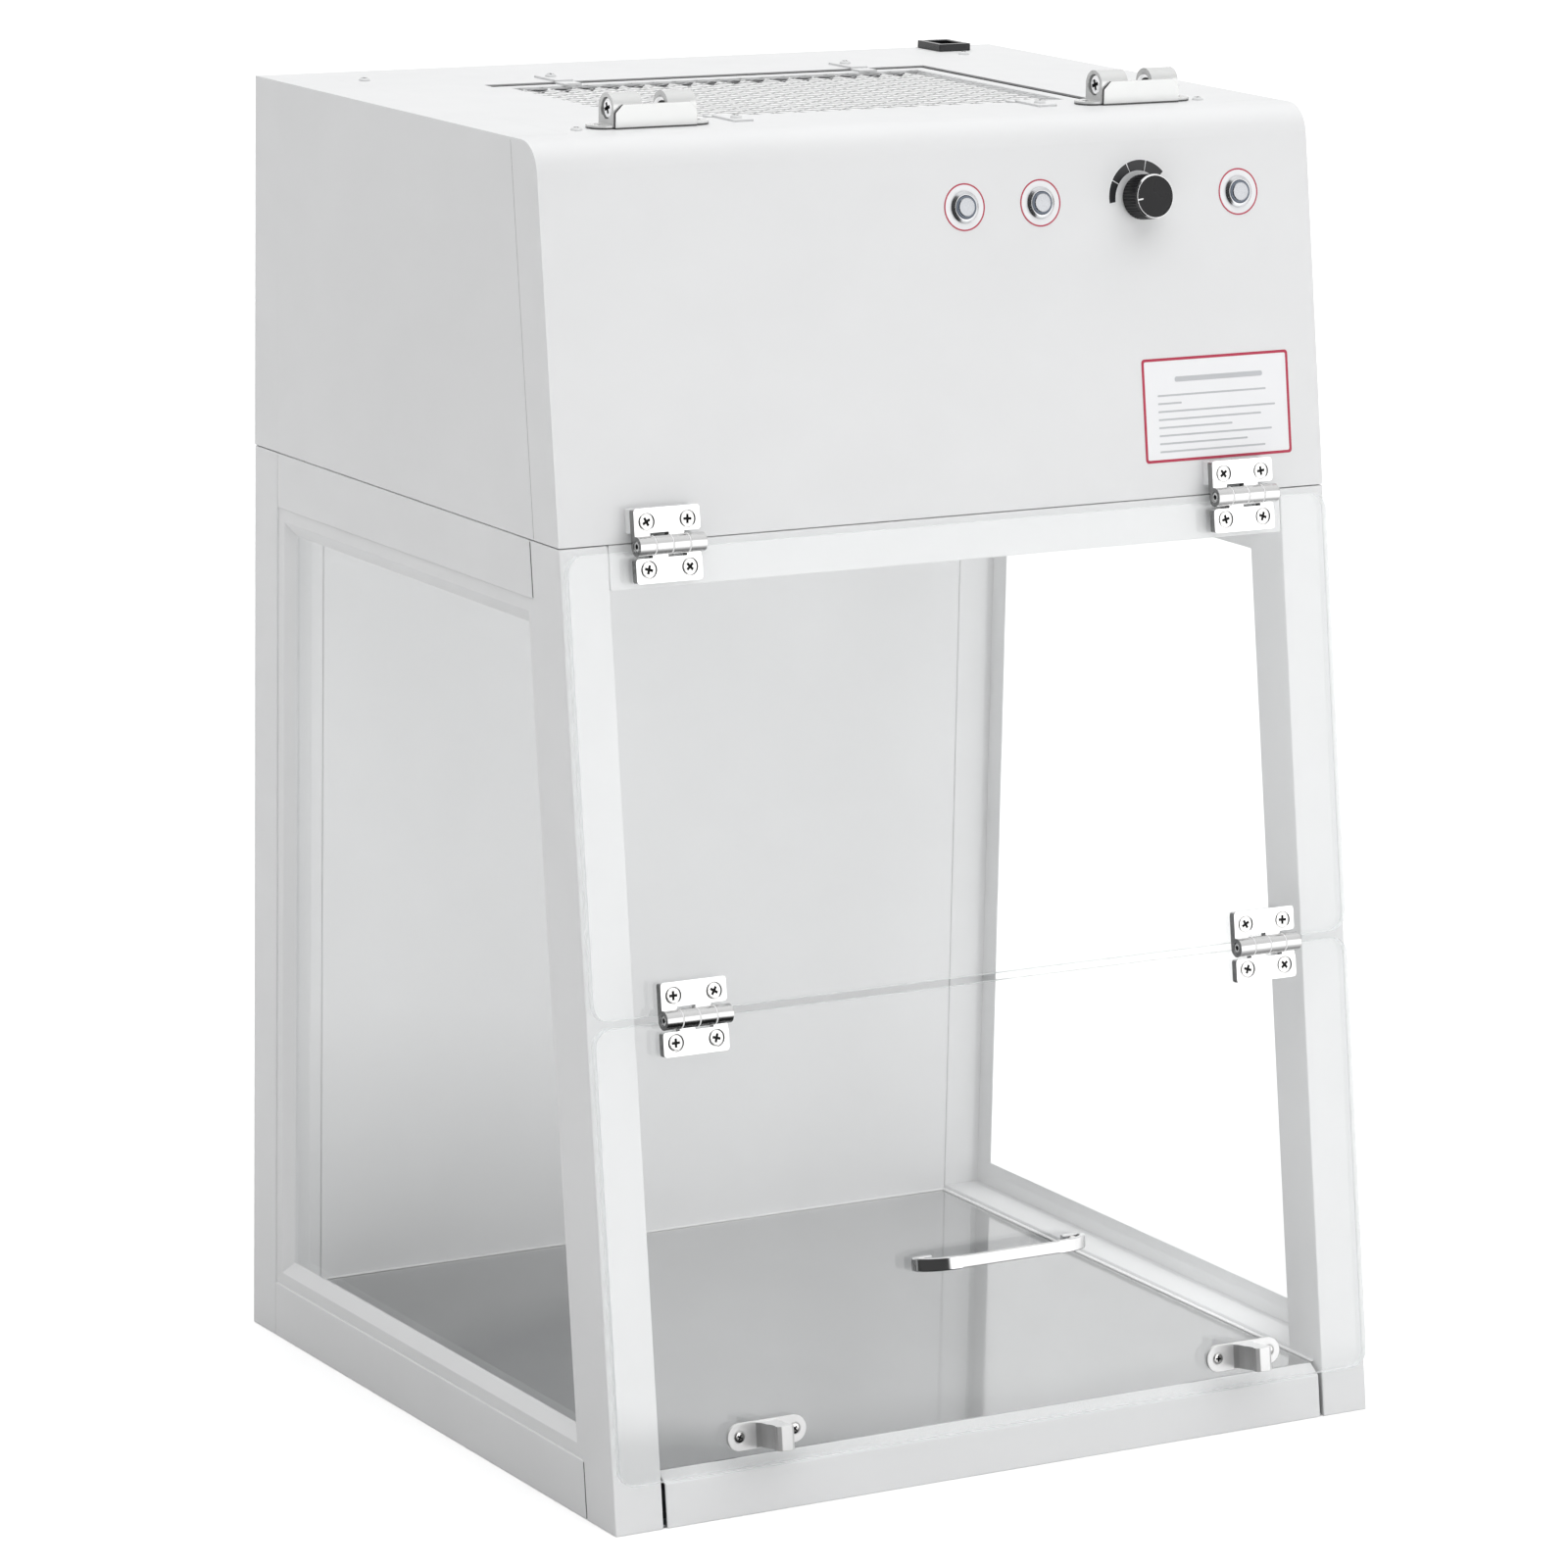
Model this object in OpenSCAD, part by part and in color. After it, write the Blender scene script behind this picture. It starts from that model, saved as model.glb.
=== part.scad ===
// Bench-top clean-air hood: a steel lower frame with clear side windows, a fan and
// filter cabinet on top, and a two-leaf folding sash that stows on ball catches.
// Millimetres. +Z is up, +Y points to the back, and the origin is the middle of the foot.

/* [Body] */
// Width of the hood
width = 500; // [480:1:540]
// Depth of the hood at its foot
depth = 450; // [440:1:470]
// Height of the body, without the fittings on its top
height = 750; // [740:1:770]
// How far the front leans back from foot to top
set_back = 110; // [105:1:115]
// Outer radius of the bend between front and top
bend_r = 18; // [14:1:22]
// Thickness of the steel sheet
sheet = 1.5; // [1.2:0.1:1.8]

/* [Lower frame] */
// Height of the seam between lower frame and cabinet
seam_z = 534; // [530:1:538]
// Width of the square tubes
member = 30; // [28:1:32]
// Depth of the front posts, from front to back
front_post_d = 33; // [30:1:36]
// Height of the side rails
rail_h = 33; // [31:1:36]
// Height of the work surface
floor_z = 30; // [28:1:31]
// Width of the flat ring around each side window
ring_w = 7.5; // [6:0.5:10]
// Width of the slope inside that ring
slope_w = 7.5; // [6:0.5:9]

/* [Sash] */
// Thickness of the clear panels
panel_t = 5; // [4:0.5:5]
// Corner radius of the clear panels
panel_r = 10; // [6:1:12]
// Upper hinge axis, measured up the slope from the foot
upper_axis = 538.5; // [537:0.5:539]
// Lower hinge axis, measured up the slope from the foot
lower_axis = 280.5; // [279:0.5:282]
// Lower edge of the sash, measured up the slope
sash_foot = 27; // [26:1:30]
// Middle of each hinge, left and right of the centre line
hinge_x = 188; // [184:0.5:190]
// How far right of centre the filter clips, catches and strikes sit
fitting_shift = 3; // [0:0.5:4]

/* [Handle] */
// Length of the handle
handle_l = 113; // [106:1:130]
// Middle of the handle, right of the centre line
handle_x = -1.5; // [-5:0.5:5]
// How far the handle stands off the panel
handle_d = 17; // [15:1:25]
// Height of the handle above the foot, up the slope
handle_up = 126.5; // [110:0.5:150]

/* [Catches] */
// Middle of each catch, left and right of the centre line
catch_x = 158.5; // [150:0.5:165]
// Middle of the catches, front to back
catch_y = -70; // [-72:1:-68]
// Height of the strikes, up the slope
strike_up = 45.5; // [44:0.5:47]

/* [Controls] */
// Height of the controls, up the slope
control_up = 710.5; // [700:0.5:715]
// Places of the three push buttons, left to right
button_x = [17.5, 67.5, 201];
// Place of the speed knob
knob_x = 134.5; // [120:0.5:150]
// Diameter of the speed knob
knob_d = 25.5; // [20:0.5:26]
// How far the speed knob stands out
knob_h = 15.5; // [12:0.5:18]

/* [Fan and filters] */
// Width of the pre-filter opening in the lid
opening_w = 296; // [280:1:300]
// Front edge of the pre-filter opening
opening_y0 = -49; // [-50:1:-45]
// Back edge of the pre-filter opening
opening_y1 = 136; // [130:1:138]
// Radius of the fan wheel
wheel_r = 92; // [80:1:95]
// Blades on the fan wheel
blades = 9; // [7:1:11]
// Pleats in the fine filter
pleats = 44; // [30:1:50]

/* [Hidden] */
$fn = 48;
eps = 0.01;
lean = atan(set_back / height);
half_w = width / 2;
back_y = depth / 2;
inner_x = half_w - member;
rear_y = back_y - member;
skin_z = seam_z + 0.6;
seam_gap = 0.4;
front_strip = 28;
side_flange = 35;
lid_y0 = front_y(height) + front_strip;
bend_y = front_y(height - bend_r) + bend_r / cos(lean);
bend_z = height - bend_r;

seat = 0.5;
face = seat + panel_t;
leaf_t = 4.5;
leaf_w = 41;
leaf_h = 20.5;
knuckle_r = 5.4;
knuckle_l = 9.6;
knuckle_pitch = 10.6;
barrel_l = 3 * knuckle_pitch + knuckle_l;
washer_r = knuckle_r + 0.15;
pin_r = 3;
axis_off = face + knuckle_r;
leaf_cut = knuckle_r + 1.4;
sink_r = 5;
sink_h = 3.3;
screw_r = 1.5;
head_r = 3;
hinge_screw_r = 2.2;
hinge_head_r = 4.4;
screw_dx = 12.75;
screw_du = 13;
panel_x = half_w - 2;

catch_bore = 6;
ball_r = 5.5;
barrel_r = 8.4;
barrel_in = 8;
barrel_out = 26;
barrel_z = height + sheet + 9.3;
ball_x = barrel_in + 2.1;
ball_travel = 1.2;
neck = 16.5;
tongue_l = 24;
strike_t = 2;

fan_y = 45;
fan_plate_z = 700;
filter_z = seam_z + sheet;
filter_h = 50;
filter_x = 215;
filter_y0 = -125;
filter_y1 = 185;
filter_wall = 12;
outlet_y0 = -65;
outlet_y1 = 170;
inlet_x = half_w - 42.5;
inlet_y = back_y - 16;
rest_angle = 187;
sweep = 148;

// The front face leans back: its Y at a height, and the same line moved inwards.
function front_y(z) = -depth / 2 + z * tan(lean);
function inset_y(z, inset) = front_y(z) + inset / cos(lean);

// Local frame on the front face: X across, Z up the slope, -Y outwards.
module on_front() {
    translate([0, -depth / 2, 0]) rotate([-lean, 0, 0]) children();
}

// A point on the front face, with +Z outwards and Y up the slope.
module outwards(x, up, off = 0) {
    on_front() translate([x, -off, up]) rotate([90, 0, 0]) children();
}

// An outline in Y and Z, extruded from x0 to x1.
module across(x0, x1) {
    translate([x0, 0, 0]) rotate([90, 0, 90]) linear_extrude(x1 - x0) children();
}

module box(x, y, z) {
    translate([x[0], y[0], z[0]]) cube([x[1] - x[0], y[1] - y[0], z[1] - z[0]]);
}

module rounded(w, h, r) {
    square([w - 2 * r, h], center = true);
    square([w, h - 2 * r], center = true);
    for (sx = [-1, 1], sy = [-1, 1]) translate([sx * (w / 2 - r), sy * (h / 2 - r)]) circle(r);
}

module both_sides() {
    children();
    mirror([1, 0, 0]) children();
}

// ---------------------------------------------------------------- cabinet skins

// Section of the cabinet, front and top moved inwards by inset, cut off at y_end.
module cabinet_section(inset, y_end, z_low) {
    r = bend_r - inset;
    polygon([
        [inset_y(z_low, inset), z_low],
        [bend_y - r * cos(lean), bend_z + r * sin(lean)],
        [bend_y, bend_z],
        [bend_y, bend_z + r],
        [y_end, height - inset],
        [y_end, z_low]
    ]);
    translate([bend_y, bend_z]) intersection() {
        circle(r);
        translate([-r, 0]) square(r);
    }
}

module front_strip_section() {
    polygon([
        [front_y(skin_z), skin_z],
        [front_y(skin_z) + front_strip, skin_z],
        [front_y(height) + front_strip, height],
        [front_y(height), height]
    ]);
}

// Screw places of the two upper hinges, on the cabinet side of the axis.
module at_hinge_screws(axis, side, off) {
    for (x = [-hinge_x, hinge_x], dx = [-screw_dx, screw_dx])
        outwards(x + dx, axis + side * screw_du, off) children();
}

module cabinet_front() {
    color("white") difference() {
        union() {
            across(-half_w, half_w) difference() {
                cabinet_section(0, lid_y0, skin_z);
                cabinet_section(sheet, lid_y0 + 1, skin_z - 5);
            }
            both_sides() across(half_w - sheet, half_w) intersection() {
                cabinet_section(0, lid_y0, skin_z);
                front_strip_section();
            }
        }
        for (x = button_x) outwards(x, control_up, -5) cylinder(r = 8.1, h = 10);
        outwards(knob_x, control_up, -5) cylinder(r = 3.6, h = 10);
        at_hinge_screws(upper_axis, 1, -5) cylinder(r = hinge_screw_r + 0.05, h = 10);
    }
}

module cabinet_side() {
    y0 = front_strip + seam_gap;
    across(half_w - sheet, half_w) polygon([
        [front_y(skin_z) + y0, skin_z],
        [rear_y, skin_z],
        [rear_y, height],
        [front_y(height) + y0, height]
    ]);
    box([half_w - side_flange, half_w - sheet], [lid_y0 + seam_gap, rear_y], [height - sheet, height]);
}

module cabinet_side_left() {
    color("white") mirror([1, 0, 0]) cabinet_side();
}

module cabinet_side_right() {
    color("white") cabinet_side();
}

back_screws = [for (x = [-half_w + 20, 0, half_w - 20], z = [seam_z + 25, height - 25]) [x, z]];

module cabinet_back() {
    color("white") difference() {
        union() {
            box([-half_w, half_w], [back_y - sheet, back_y], [skin_z, height]);
            box([-half_w, half_w], [rear_y, back_y], [height - sheet, height]);
            both_sides() box([half_w - sheet, half_w], [rear_y, back_y], [skin_z, height]);
        }
        box([inlet_x - 9.5, inlet_x + 9.5], [inlet_y - 11.5, inlet_y + 11.5], [height - 5, height + 5]);
        for (p = back_screws) translate([p[0], back_y, p[1]]) rotate([90, 0, 0])
            cylinder(r = screw_r + 0.05, h = 10, center = true);
    }
}

lid_x = half_w - side_flange;
lid_screws = [for (x = [-lid_x + 12, lid_x - 12], y = [lid_y0 + 12, rear_y - 16]) [x, y]];
tray_z = height - 22;
clip_x = 99.5;
clip_places = [for (x = [-clip_x, clip_x]) x + fitting_shift];
clip_front_y = opening_y0 - 15;
clip_back_y = opening_y1 + 15;

module lid_opening(grow, z0, z1) {
    box([-opening_w / 2 - grow, opening_w / 2 + grow], [opening_y0 - grow, opening_y1 + grow], [z0, z1]);
}

module at_clips() {
    for (x = clip_places) {
        translate([x, opening_y0, height]) children();
        translate([x, opening_y1, height]) mirror([0, 1, 0]) children();
    }
}

module top_lid() {
    color("white") difference() {
        union() {
            box([-lid_x, lid_x], [lid_y0, rear_y], [height - sheet, height]);
            lid_opening(sheet, tray_z, height - sheet);
        }
        lid_opening(0, tray_z + sheet, height + 1);
        lid_opening(-8, tray_z - 1, height + 1);
        for (p = lid_screws) translate([p[0], p[1], height - 5]) cylinder(r = screw_r + 0.05, h = 10);
        at_clips() translate([0, -15, -5]) cylinder(r = screw_r + 0.05, h = 10);
    }
}

module cabinet_deck() {
    color("white") translate([0, 0, seam_z]) difference() {
        linear_extrude(sheet) polygon([
            [-half_w + 1.7, inset_y(seam_z + sheet, 1.8)],
            [half_w - 1.7, inset_y(seam_z + sheet, 1.8)],
            [half_w - 1.7, back_y - 1.7],
            [-half_w + 1.7, back_y - 1.7]
        ]);
        box([-filter_x + 15, filter_x - 15], [outlet_y0, outlet_y1], [-1, 5]);
    }
}

// ---------------------------------------------------------------- pre-filter

media_gap = 2.5;
frame_x = opening_w / 2 - media_gap;
frame_y0 = opening_y0 + media_gap;
frame_y1 = opening_y1 - media_gap;
frame_z = tray_z + sheet;

module prefilter_frame() {
    color("gainsboro") difference() {
        box([-frame_x, frame_x], [frame_y0, frame_y1], [frame_z, height - 1]);
        box([-frame_x + 9, frame_x - 9], [frame_y0 + 9, frame_y1 - 9], [frame_z - 1, height + 1]);
    }
}

// A wire grid: one layer of wires laid across another, inside the frame.
module prefilter_mesh() {
    wire = 0.9;
    pitch = 16;
    z = height - 3;
    gx = frame_x - 9.1;
    gy0 = frame_y0 + 9.1;
    gy1 = frame_y1 - 9.1;
    color("silver") {
        for (x = [-gx + 4:pitch:gx - 4]) box([x, x + wire], [gy0, gy1], [z, z + wire]);
        for (y = [gy0 + 4:pitch:gy1 - 4]) box([-gx, gx], [y, y + wire], [z + wire + eps, z + 2 * wire]);
    }
}

module prefilter_media() {
    color("white") box([-frame_x + 9.1, frame_x - 9.1], [frame_y0 + 9.1, frame_y1 - 9.1],
        [frame_z, height - 4]);
}

module clip() {
    w = 12;
    t = 1.2;
    step = 0.3;
    box([-w / 2, w / 2], [-24, step + t], [0, t]);
    box([-w / 2, w / 2], [step, step + t], [-1, t]);
    box([-w / 2, w / 2], [step, 12], [-1, t - 1]);
}

module filter_clips() {
    color("silver") at_clips() difference() {
        clip();
        translate([0, -15, -5]) cylinder(r = screw_r + 0.05, h = 10);
    }
}

// ---------------------------------------------------------------- fan

mouth_r = 80;
throat_r = 61;
throat_l = 16;
curl = mouth_r - throat_r;

module fan_plate() {
    x = half_w - 2;
    color("lightgray") {
        difference() {
            union() {
                box([-x, x], [-70, rear_y - 2], [fan_plate_z, fan_plate_z + sheet]);
                both_sides() box([x - sheet, x], [-70, rear_y - 2], [fan_plate_z - 15, fan_plate_z]);
            }
            translate([0, fan_y, fan_plate_z - 5]) cylinder(r = mouth_r, h = 10, $fn = 96);
        }
        translate([0, fan_y, 0]) rotate_extrude($fn = 96) {
            translate([mouth_r, fan_plate_z + sheet - curl]) intersection() {
                difference() {
                    circle(curl);
                    circle(curl - sheet);
                }
                translate([-curl, 0]) square(curl);
            }
            translate([throat_r, fan_plate_z + sheet - curl - throat_l]) square([sheet, throat_l]);
        }
    }
}

rotor_z = 606;
stator_z = 594;

module motor_bracket() {
    x = half_w - 1.7;
    color("silver") difference() {
        union() {
            box([-x, x], [fan_y - 30, fan_y + 30], [stator_z - 2, stator_z]);
            both_sides() box([x - 2, x], [fan_y - 30, fan_y + 30], [stator_z, stator_z + 16]);
        }
        for (a = [45:90:359]) translate([0, fan_y, 0]) rotate(a) translate([28, 0, stator_z - 5])
            cylinder(r = 2, h = 10);
    }
}

module motor_stator() {
    color("dimgray") translate([0, fan_y, 0]) difference() {
        union() {
            translate([0, 0, stator_z]) cylinder(r = 42, h = 8);
            translate([0, 0, stator_z + 8]) cylinder(r = 36, h = 34);
        }
        translate([0, 0, stator_z - 1]) cylinder(r = 4.05, h = 60);
    }
}

// One backward-curved blade: a strip along a circular arc from the hub to the rim.
function blade_point(s, r0, r1, turn, side) =
    let (r = r0 + s * (r1 - r0), a = turn * s * s + side / r * 57.3) [r * cos(a), r * sin(a)];

module blade(h) {
    steps = 8;
    linear_extrude(h) polygon(concat(
        [for (i = [0:steps]) blade_point(i / steps, 49, wheel_r - 1, -48, -0.7)],
        [for (i = [steps:-1:0]) blade_point(i / steps, 49, wheel_r - 1, -48, 0.7)]
    ));
}

module impeller() {
    top = fan_plate_z - 46;
    color("lightslategray") translate([0, fan_y, 0]) {
        difference() {
            union() {
                translate([0, 0, rotor_z]) cylinder(r = wheel_r, h = 2, $fn = 96);
                translate([0, 0, rotor_z]) cylinder(r = 46, h = 36);
            }
            translate([0, 0, rotor_z - 1]) cylinder(r = 43, h = 35);
        }
        translate([0, 0, stator_z + 1]) cylinder(r = 4, h = rotor_z + 35 - stator_z);
        for (i = [0:blades - 1]) rotate(i * 360 / blades) translate([0, 0, rotor_z + 2])
            blade(top - rotor_z - 2);
        translate([0, 0, top]) difference() {
            union() {
                cylinder(r = wheel_r, h = sheet, $fn = 96);
                cylinder(r = throat_r + 4, h = 18, $fn = 96);
            }
            translate([0, 0, -1]) cylinder(r = throat_r + 2.5, h = 30, $fn = 96);
        }
    }
}

// ---------------------------------------------------------------- fine filter and lamps

module hepa_frame() {
    color("silver") difference() {
        box([-filter_x, filter_x], [filter_y0, filter_y1], [filter_z, filter_z + filter_h]);
        box([-filter_x + filter_wall, filter_x - filter_wall],
            [filter_y0 + filter_wall, filter_y1 - filter_wall], [filter_z - 1, filter_z + filter_h + 1]);
    }
}

module hepa_media() {
    run = 2 * (filter_x - filter_wall) - 2;
    step = run / pleats;
    ribbon = 3;
    z0 = filter_z + 5;
    z1 = filter_z + filter_h - 5 - ribbon;
    y0 = filter_y0 + filter_wall + 0.2;
    function ridge(i) = i % 2 == 0 ? z0 : z1;
    color("whitesmoke") translate([-run / 2, y0, 0]) rotate([90, 0, 0]) mirror([0, 0, 1])
        linear_extrude(filter_y1 - filter_y0 - 2 * filter_wall - 0.4) polygon(concat(
            [for (i = [0:pleats]) [i * step, ridge(i)]],
            [for (i = [pleats:-1:0]) [i * step, ridge(i) + ribbon]]
        ));
}

module diffuser_grille() {
    slot_l = 120;
    color("silver") difference() {
        box([-210, 210], [outlet_y0 - 5, outlet_y1 + 8], [seam_z - sheet, seam_z]);
        for (x = [-135, 0, 135], y = [outlet_y0 + 7:9:outlet_y1 - 6])
            box([x - slot_l / 2, x + slot_l / 2], [y, y + 4.5], [seam_z - 5, seam_z + 5]);
    }
}

tube_y = -106;
tube_z = seam_z - 17;
tube_half = 144;

module lamp_holder() {
    color("white") {
        box([-170, 170], [-122, -74], [seam_z - sheet, seam_z]);
        both_sides() box([tube_half, tube_half + 10], [tube_y - 10, tube_y + 10],
            [tube_z - 10, seam_z - sheet]);
    }
}

module uv_tube() {
    color("lightblue") translate([-tube_half, tube_y, tube_z]) rotate([0, 90, 0])
        cylinder(r = 8, h = 2 * tube_half);
}

module led_bar() {
    color("white") box([-150, 150], [-90, -78], [seam_z - sheet - 8, seam_z - sheet]);
}

// ---------------------------------------------------------------- electrics

module power_supply() {
    color("silver") box([-half_w + sheet, -half_w + sheet + 40], [60, 160], [610, 680]);
}

// A lead between points, as round rods with ball corners.
module lead(points, r) {
    for (i = [0:len(points) - 2]) {
        d = points[i + 1] - points[i];
        translate(points[i]) rotate([0, acos(d[2] / norm(d)), atan2(d[1], d[0])])
            cylinder(r = r, h = norm(d), $fn = 16);
    }
    for (i = [1:len(points) - 2]) translate(points[i]) sphere(r = r, $fn = 16);
}

module wiring() {
    x = -half_w + 20;
    loom_y = -104;
    loom_z = 660;
    color("dimgray") {
        lead([[inlet_x, inlet_y, height - 22], [inlet_x, inlet_y, 685], [x, inlet_y, 685],
            [x, 140, 685], [x, 140, 680]], 2.5);
        lead([[x, 110, 610], [x, 110, 600], [0, 110, 600], [0, fan_y + 42, 600]], 2.5);
        lead([[x, 60, loom_z], [x, loom_y, loom_z], [knob_x, loom_y, loom_z], [knob_x, loom_y, 685]], 2.5);
    }
}

module switch_barrels() {
    color("silver") for (x = button_x) outwards(x, control_up, 0) difference() {
        union() {
            translate([0, 0, 0.2]) cylinder(r = 9, h = 1.8);
            translate([0, 0, -30]) cylinder(r = 8, h = 30.2);
            translate([0, 0, -sheet - 4]) cylinder(r = 11, h = 4, $fn = 6);
        }
        translate([0, 0, -8]) cylinder(r = 6.35, h = 20);
    }
}

module push_button(x) {
    color("silver") outwards(x, control_up, -4.5) cylinder(r = 6.27, h = 7.6);
}

module light_button() {
    push_button(button_x[0]);
}

module sterilizer_button() {
    push_button(button_x[1]);
}

module power_button() {
    push_button(button_x[2]);
}

module speed_controller() {
    color("darkgreen") outwards(knob_x, control_up, 0) difference() {
        union() {
            translate([0, 0, -sheet - 13]) cylinder(r = 12, h = 13);
            translate([0, 0, -sheet]) cylinder(r = 3.5, h = 6);
            translate([-14, -30, -sheet - 15]) cube([28, 42, 2]);
        }
        translate([0, 0, -sheet - 12]) cylinder(r = 3.05, h = 30);
    }
}

shaft_end = 11.5;

module speed_shaft() {
    root = -sheet - 11;
    color("silver") outwards(knob_x, control_up, root) cylinder(r = 3, h = shaft_end - root);
}

module speed_knob() {
    color("black") outwards(knob_x, control_up, 0) difference() {
        union() {
            translate([0, 0, 1]) cylinder(d = knob_d, h = knob_h - 1.8);
            translate([0, 0, knob_h - 0.8]) cylinder(d1 = knob_d, d2 = knob_d - 1.6, h = 0.8);
        }
        cylinder(r = 3, h = shaft_end + 0.1);
        cylinder(r = 5, h = 6);
        rotate(rest_angle) translate([knob_d / 2 - 7, -0.5, knob_h - 0.6]) cube([10, 1, 2]);
    }
}

label_t = 0.2;

// One segment of the speed scale, between two angles, wider at the fast end.
function scale_r(a) = 17 - 3 * (rest_angle - a) / sweep;

module scale_segment(a0, a1) {
    steps = 6;
    linear_extrude(label_t) polygon(concat(
        [for (i = [0:steps]) let (a = a0 + (a1 - a0) * i / steps) 21 * [cos(a), sin(a)]],
        [for (i = [steps:-1:0]) let (a = a0 + (a1 - a0) * i / steps) scale_r(a) * [cos(a), sin(a)]]
    ));
}

module front_labels() {
    segment = sweep / 4;
    color("white") for (x = button_x) outwards(x, control_up, 0) difference() {
        cylinder(r = 13.3, h = label_t);
        translate([0, 0, -1]) cylinder(r = 8.1, h = 2);
    }
    color("black") outwards(knob_x, control_up, 0) for (i = [0:3])
        scale_segment(rest_angle - i * segment, rest_angle - (i + 1) * segment + 2);
    color("red") outwards(179.5, 589.5, 0) linear_extrude(label_t) rounded(100, 59, 2);
}

module power_inlet() {
    color("black") translate([inlet_x, inlet_y, height]) {
        difference() {
            union() {
                box([-11, 11], [-13, 13], [0, 4.5]);
                box([-9.4, 9.4], [-11.4, 11.4], [-22, 0]);
            }
            box([-7.6, 7.6], [-9.6, 9.6], [-12, 10]);
        }
        for (p = [[0, -6], [0, 6], [4, 0]]) box([p[0] - 1, p[0] + 1], [p[1] - 2, p[1] + 2], [-13, -2]);
    }
}

// ---------------------------------------------------------------- lower frame

module front_posts() {
    function post_section(i, z0, z1) = [
        [inset_y(z0, i), z0],
        [front_y(z0) + front_post_d - i / cos(lean), z0],
        [front_y(z1) + front_post_d - i / cos(lean), z1],
        [inset_y(z1, i), z1]
    ];
    color("white") both_sides() difference() {
        across(inner_x, half_w) polygon(post_section(0, 0, seam_z));
        across(inner_x + sheet, half_w - sheet) polygon(post_section(sheet, -1, seam_z + 1));
    }
}

module rear_posts() {
    color("white") both_sides() difference() {
        box([inner_x, half_w], [rear_y, back_y], [0, seam_z]);
        box([inner_x + sheet, half_w - sheet], [rear_y + sheet, back_y - sheet], [-1, seam_z + 1]);
    }
}

module side_rail(z0, z1) {
    function end_y(z) = front_y(z) + front_post_d + seam_gap;
    difference() {
        across(inner_x, half_w) polygon([[end_y(z0), z0], [rear_y, z0], [rear_y, z1], [end_y(z1), z1]]);
        box([inner_x + sheet, half_w - sheet], [-back_y, back_y], [z0 + sheet, z1 - sheet]);
    }
}

module side_rails() {
    color("white") both_sides() {
        side_rail(0, rail_h);
        side_rail(seam_z - rail_h + 1, seam_z);
    }
}

rail_gap = 2.5;
rail_top = 24.5;

module front_rail_top() {
    z0 = seam_z - 24.5;
    flange = 22;
    color("white") across(-inner_x + 0.5, inner_x - 0.5) polygon([
        [front_y(z0), z0],
        [front_y(z0) + flange, z0],
        [front_y(z0) + flange, z0 + sheet],
        [inset_y(z0 + sheet, sheet), z0 + sheet],
        [inset_y(seam_z - sheet, sheet), seam_z - sheet],
        [front_y(seam_z) + flange, seam_z - sheet],
        [front_y(seam_z) + flange, seam_z],
        [front_y(seam_z), seam_z]
    ]);
}

floor_y0 = front_y(0) + 12.4;

module front_rail_bottom() {
    lip_y = floor_y0 - 0.4;
    color("white") across(-inner_x + rail_gap, inner_x - rail_gap) polygon([
        [front_y(0), 0],
        [inset_y(0, sheet), 0],
        [inset_y(rail_top - 0.8, sheet), rail_top - 0.8],
        [lip_y, floor_z - 1.7],
        [lip_y, floor_z],
        [front_y(rail_top), rail_top]
    ]);
}

module back_wall() {
    x = inner_x - 0.4;
    color("white") difference() {
        box([-x, x], [rear_y, back_y], [0, seam_z]);
        box([-x + sheet, x - sheet], [rear_y + sheet, back_y - sheet], [-1, seam_z + 1]);
    }
}

// Outline of the side window's frame opening, moved inwards by inset.
module window_outline(inset) {
    z0 = rail_h + inset;
    z1 = seam_z - rail_h + 1 - inset;
    side = front_post_d + inset / cos(lean);
    polygon([
        [front_y(z0) + side, z0],
        [rear_y - inset, z0],
        [rear_y - inset, z1],
        [front_y(z1) + side, z1]
    ]);
}

window_t = 4;
window_out = half_w - 6;

// A flat ring that slopes inwards to the pane, like a picture frame.
module window_frames() {
    outer = half_w - 0.8;
    color("white") both_sides() difference() {
        across(window_out, outer) difference() {
            window_outline(0);
            window_outline(ring_w + slope_w);
        }
        hull() {
            across(window_out + 0.5, window_out + 0.6) window_outline(ring_w + slope_w);
            across(outer, outer + 0.1) window_outline(ring_w);
        }
    }
}

module side_windows() {
    color([0.85, 0.92, 0.95, 0.4]) both_sides() across(window_out - window_t, window_out)
        window_outline(0);
}

module work_surface() {
    x = inner_x - 1.5;
    y1 = rear_y - 0.3;
    color("silver") difference() {
        box([-x, x], [floor_y0, y1], [sheet, floor_z]);
        box([-x + sheet, x - sheet], [floor_y0 + sheet, y1 - sheet], [0, floor_z - sheet]);
    }
}

module base_pan() {
    color("silver") box([-inner_x + 0.5, inner_x - 0.5], [front_y(0) + 2.2, rear_y - 0.3], [0, sheet]);
}

// ---------------------------------------------------------------- hinges

// Hinge frame: X along the pin from the left end, Z up the slope, -Y outwards from the face.
module at_hinges(axis) {
    for (x = [-hinge_x, hinge_x]) on_front()
        translate([x - leaf_w / 2, 0, axis]) children();
}

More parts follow.
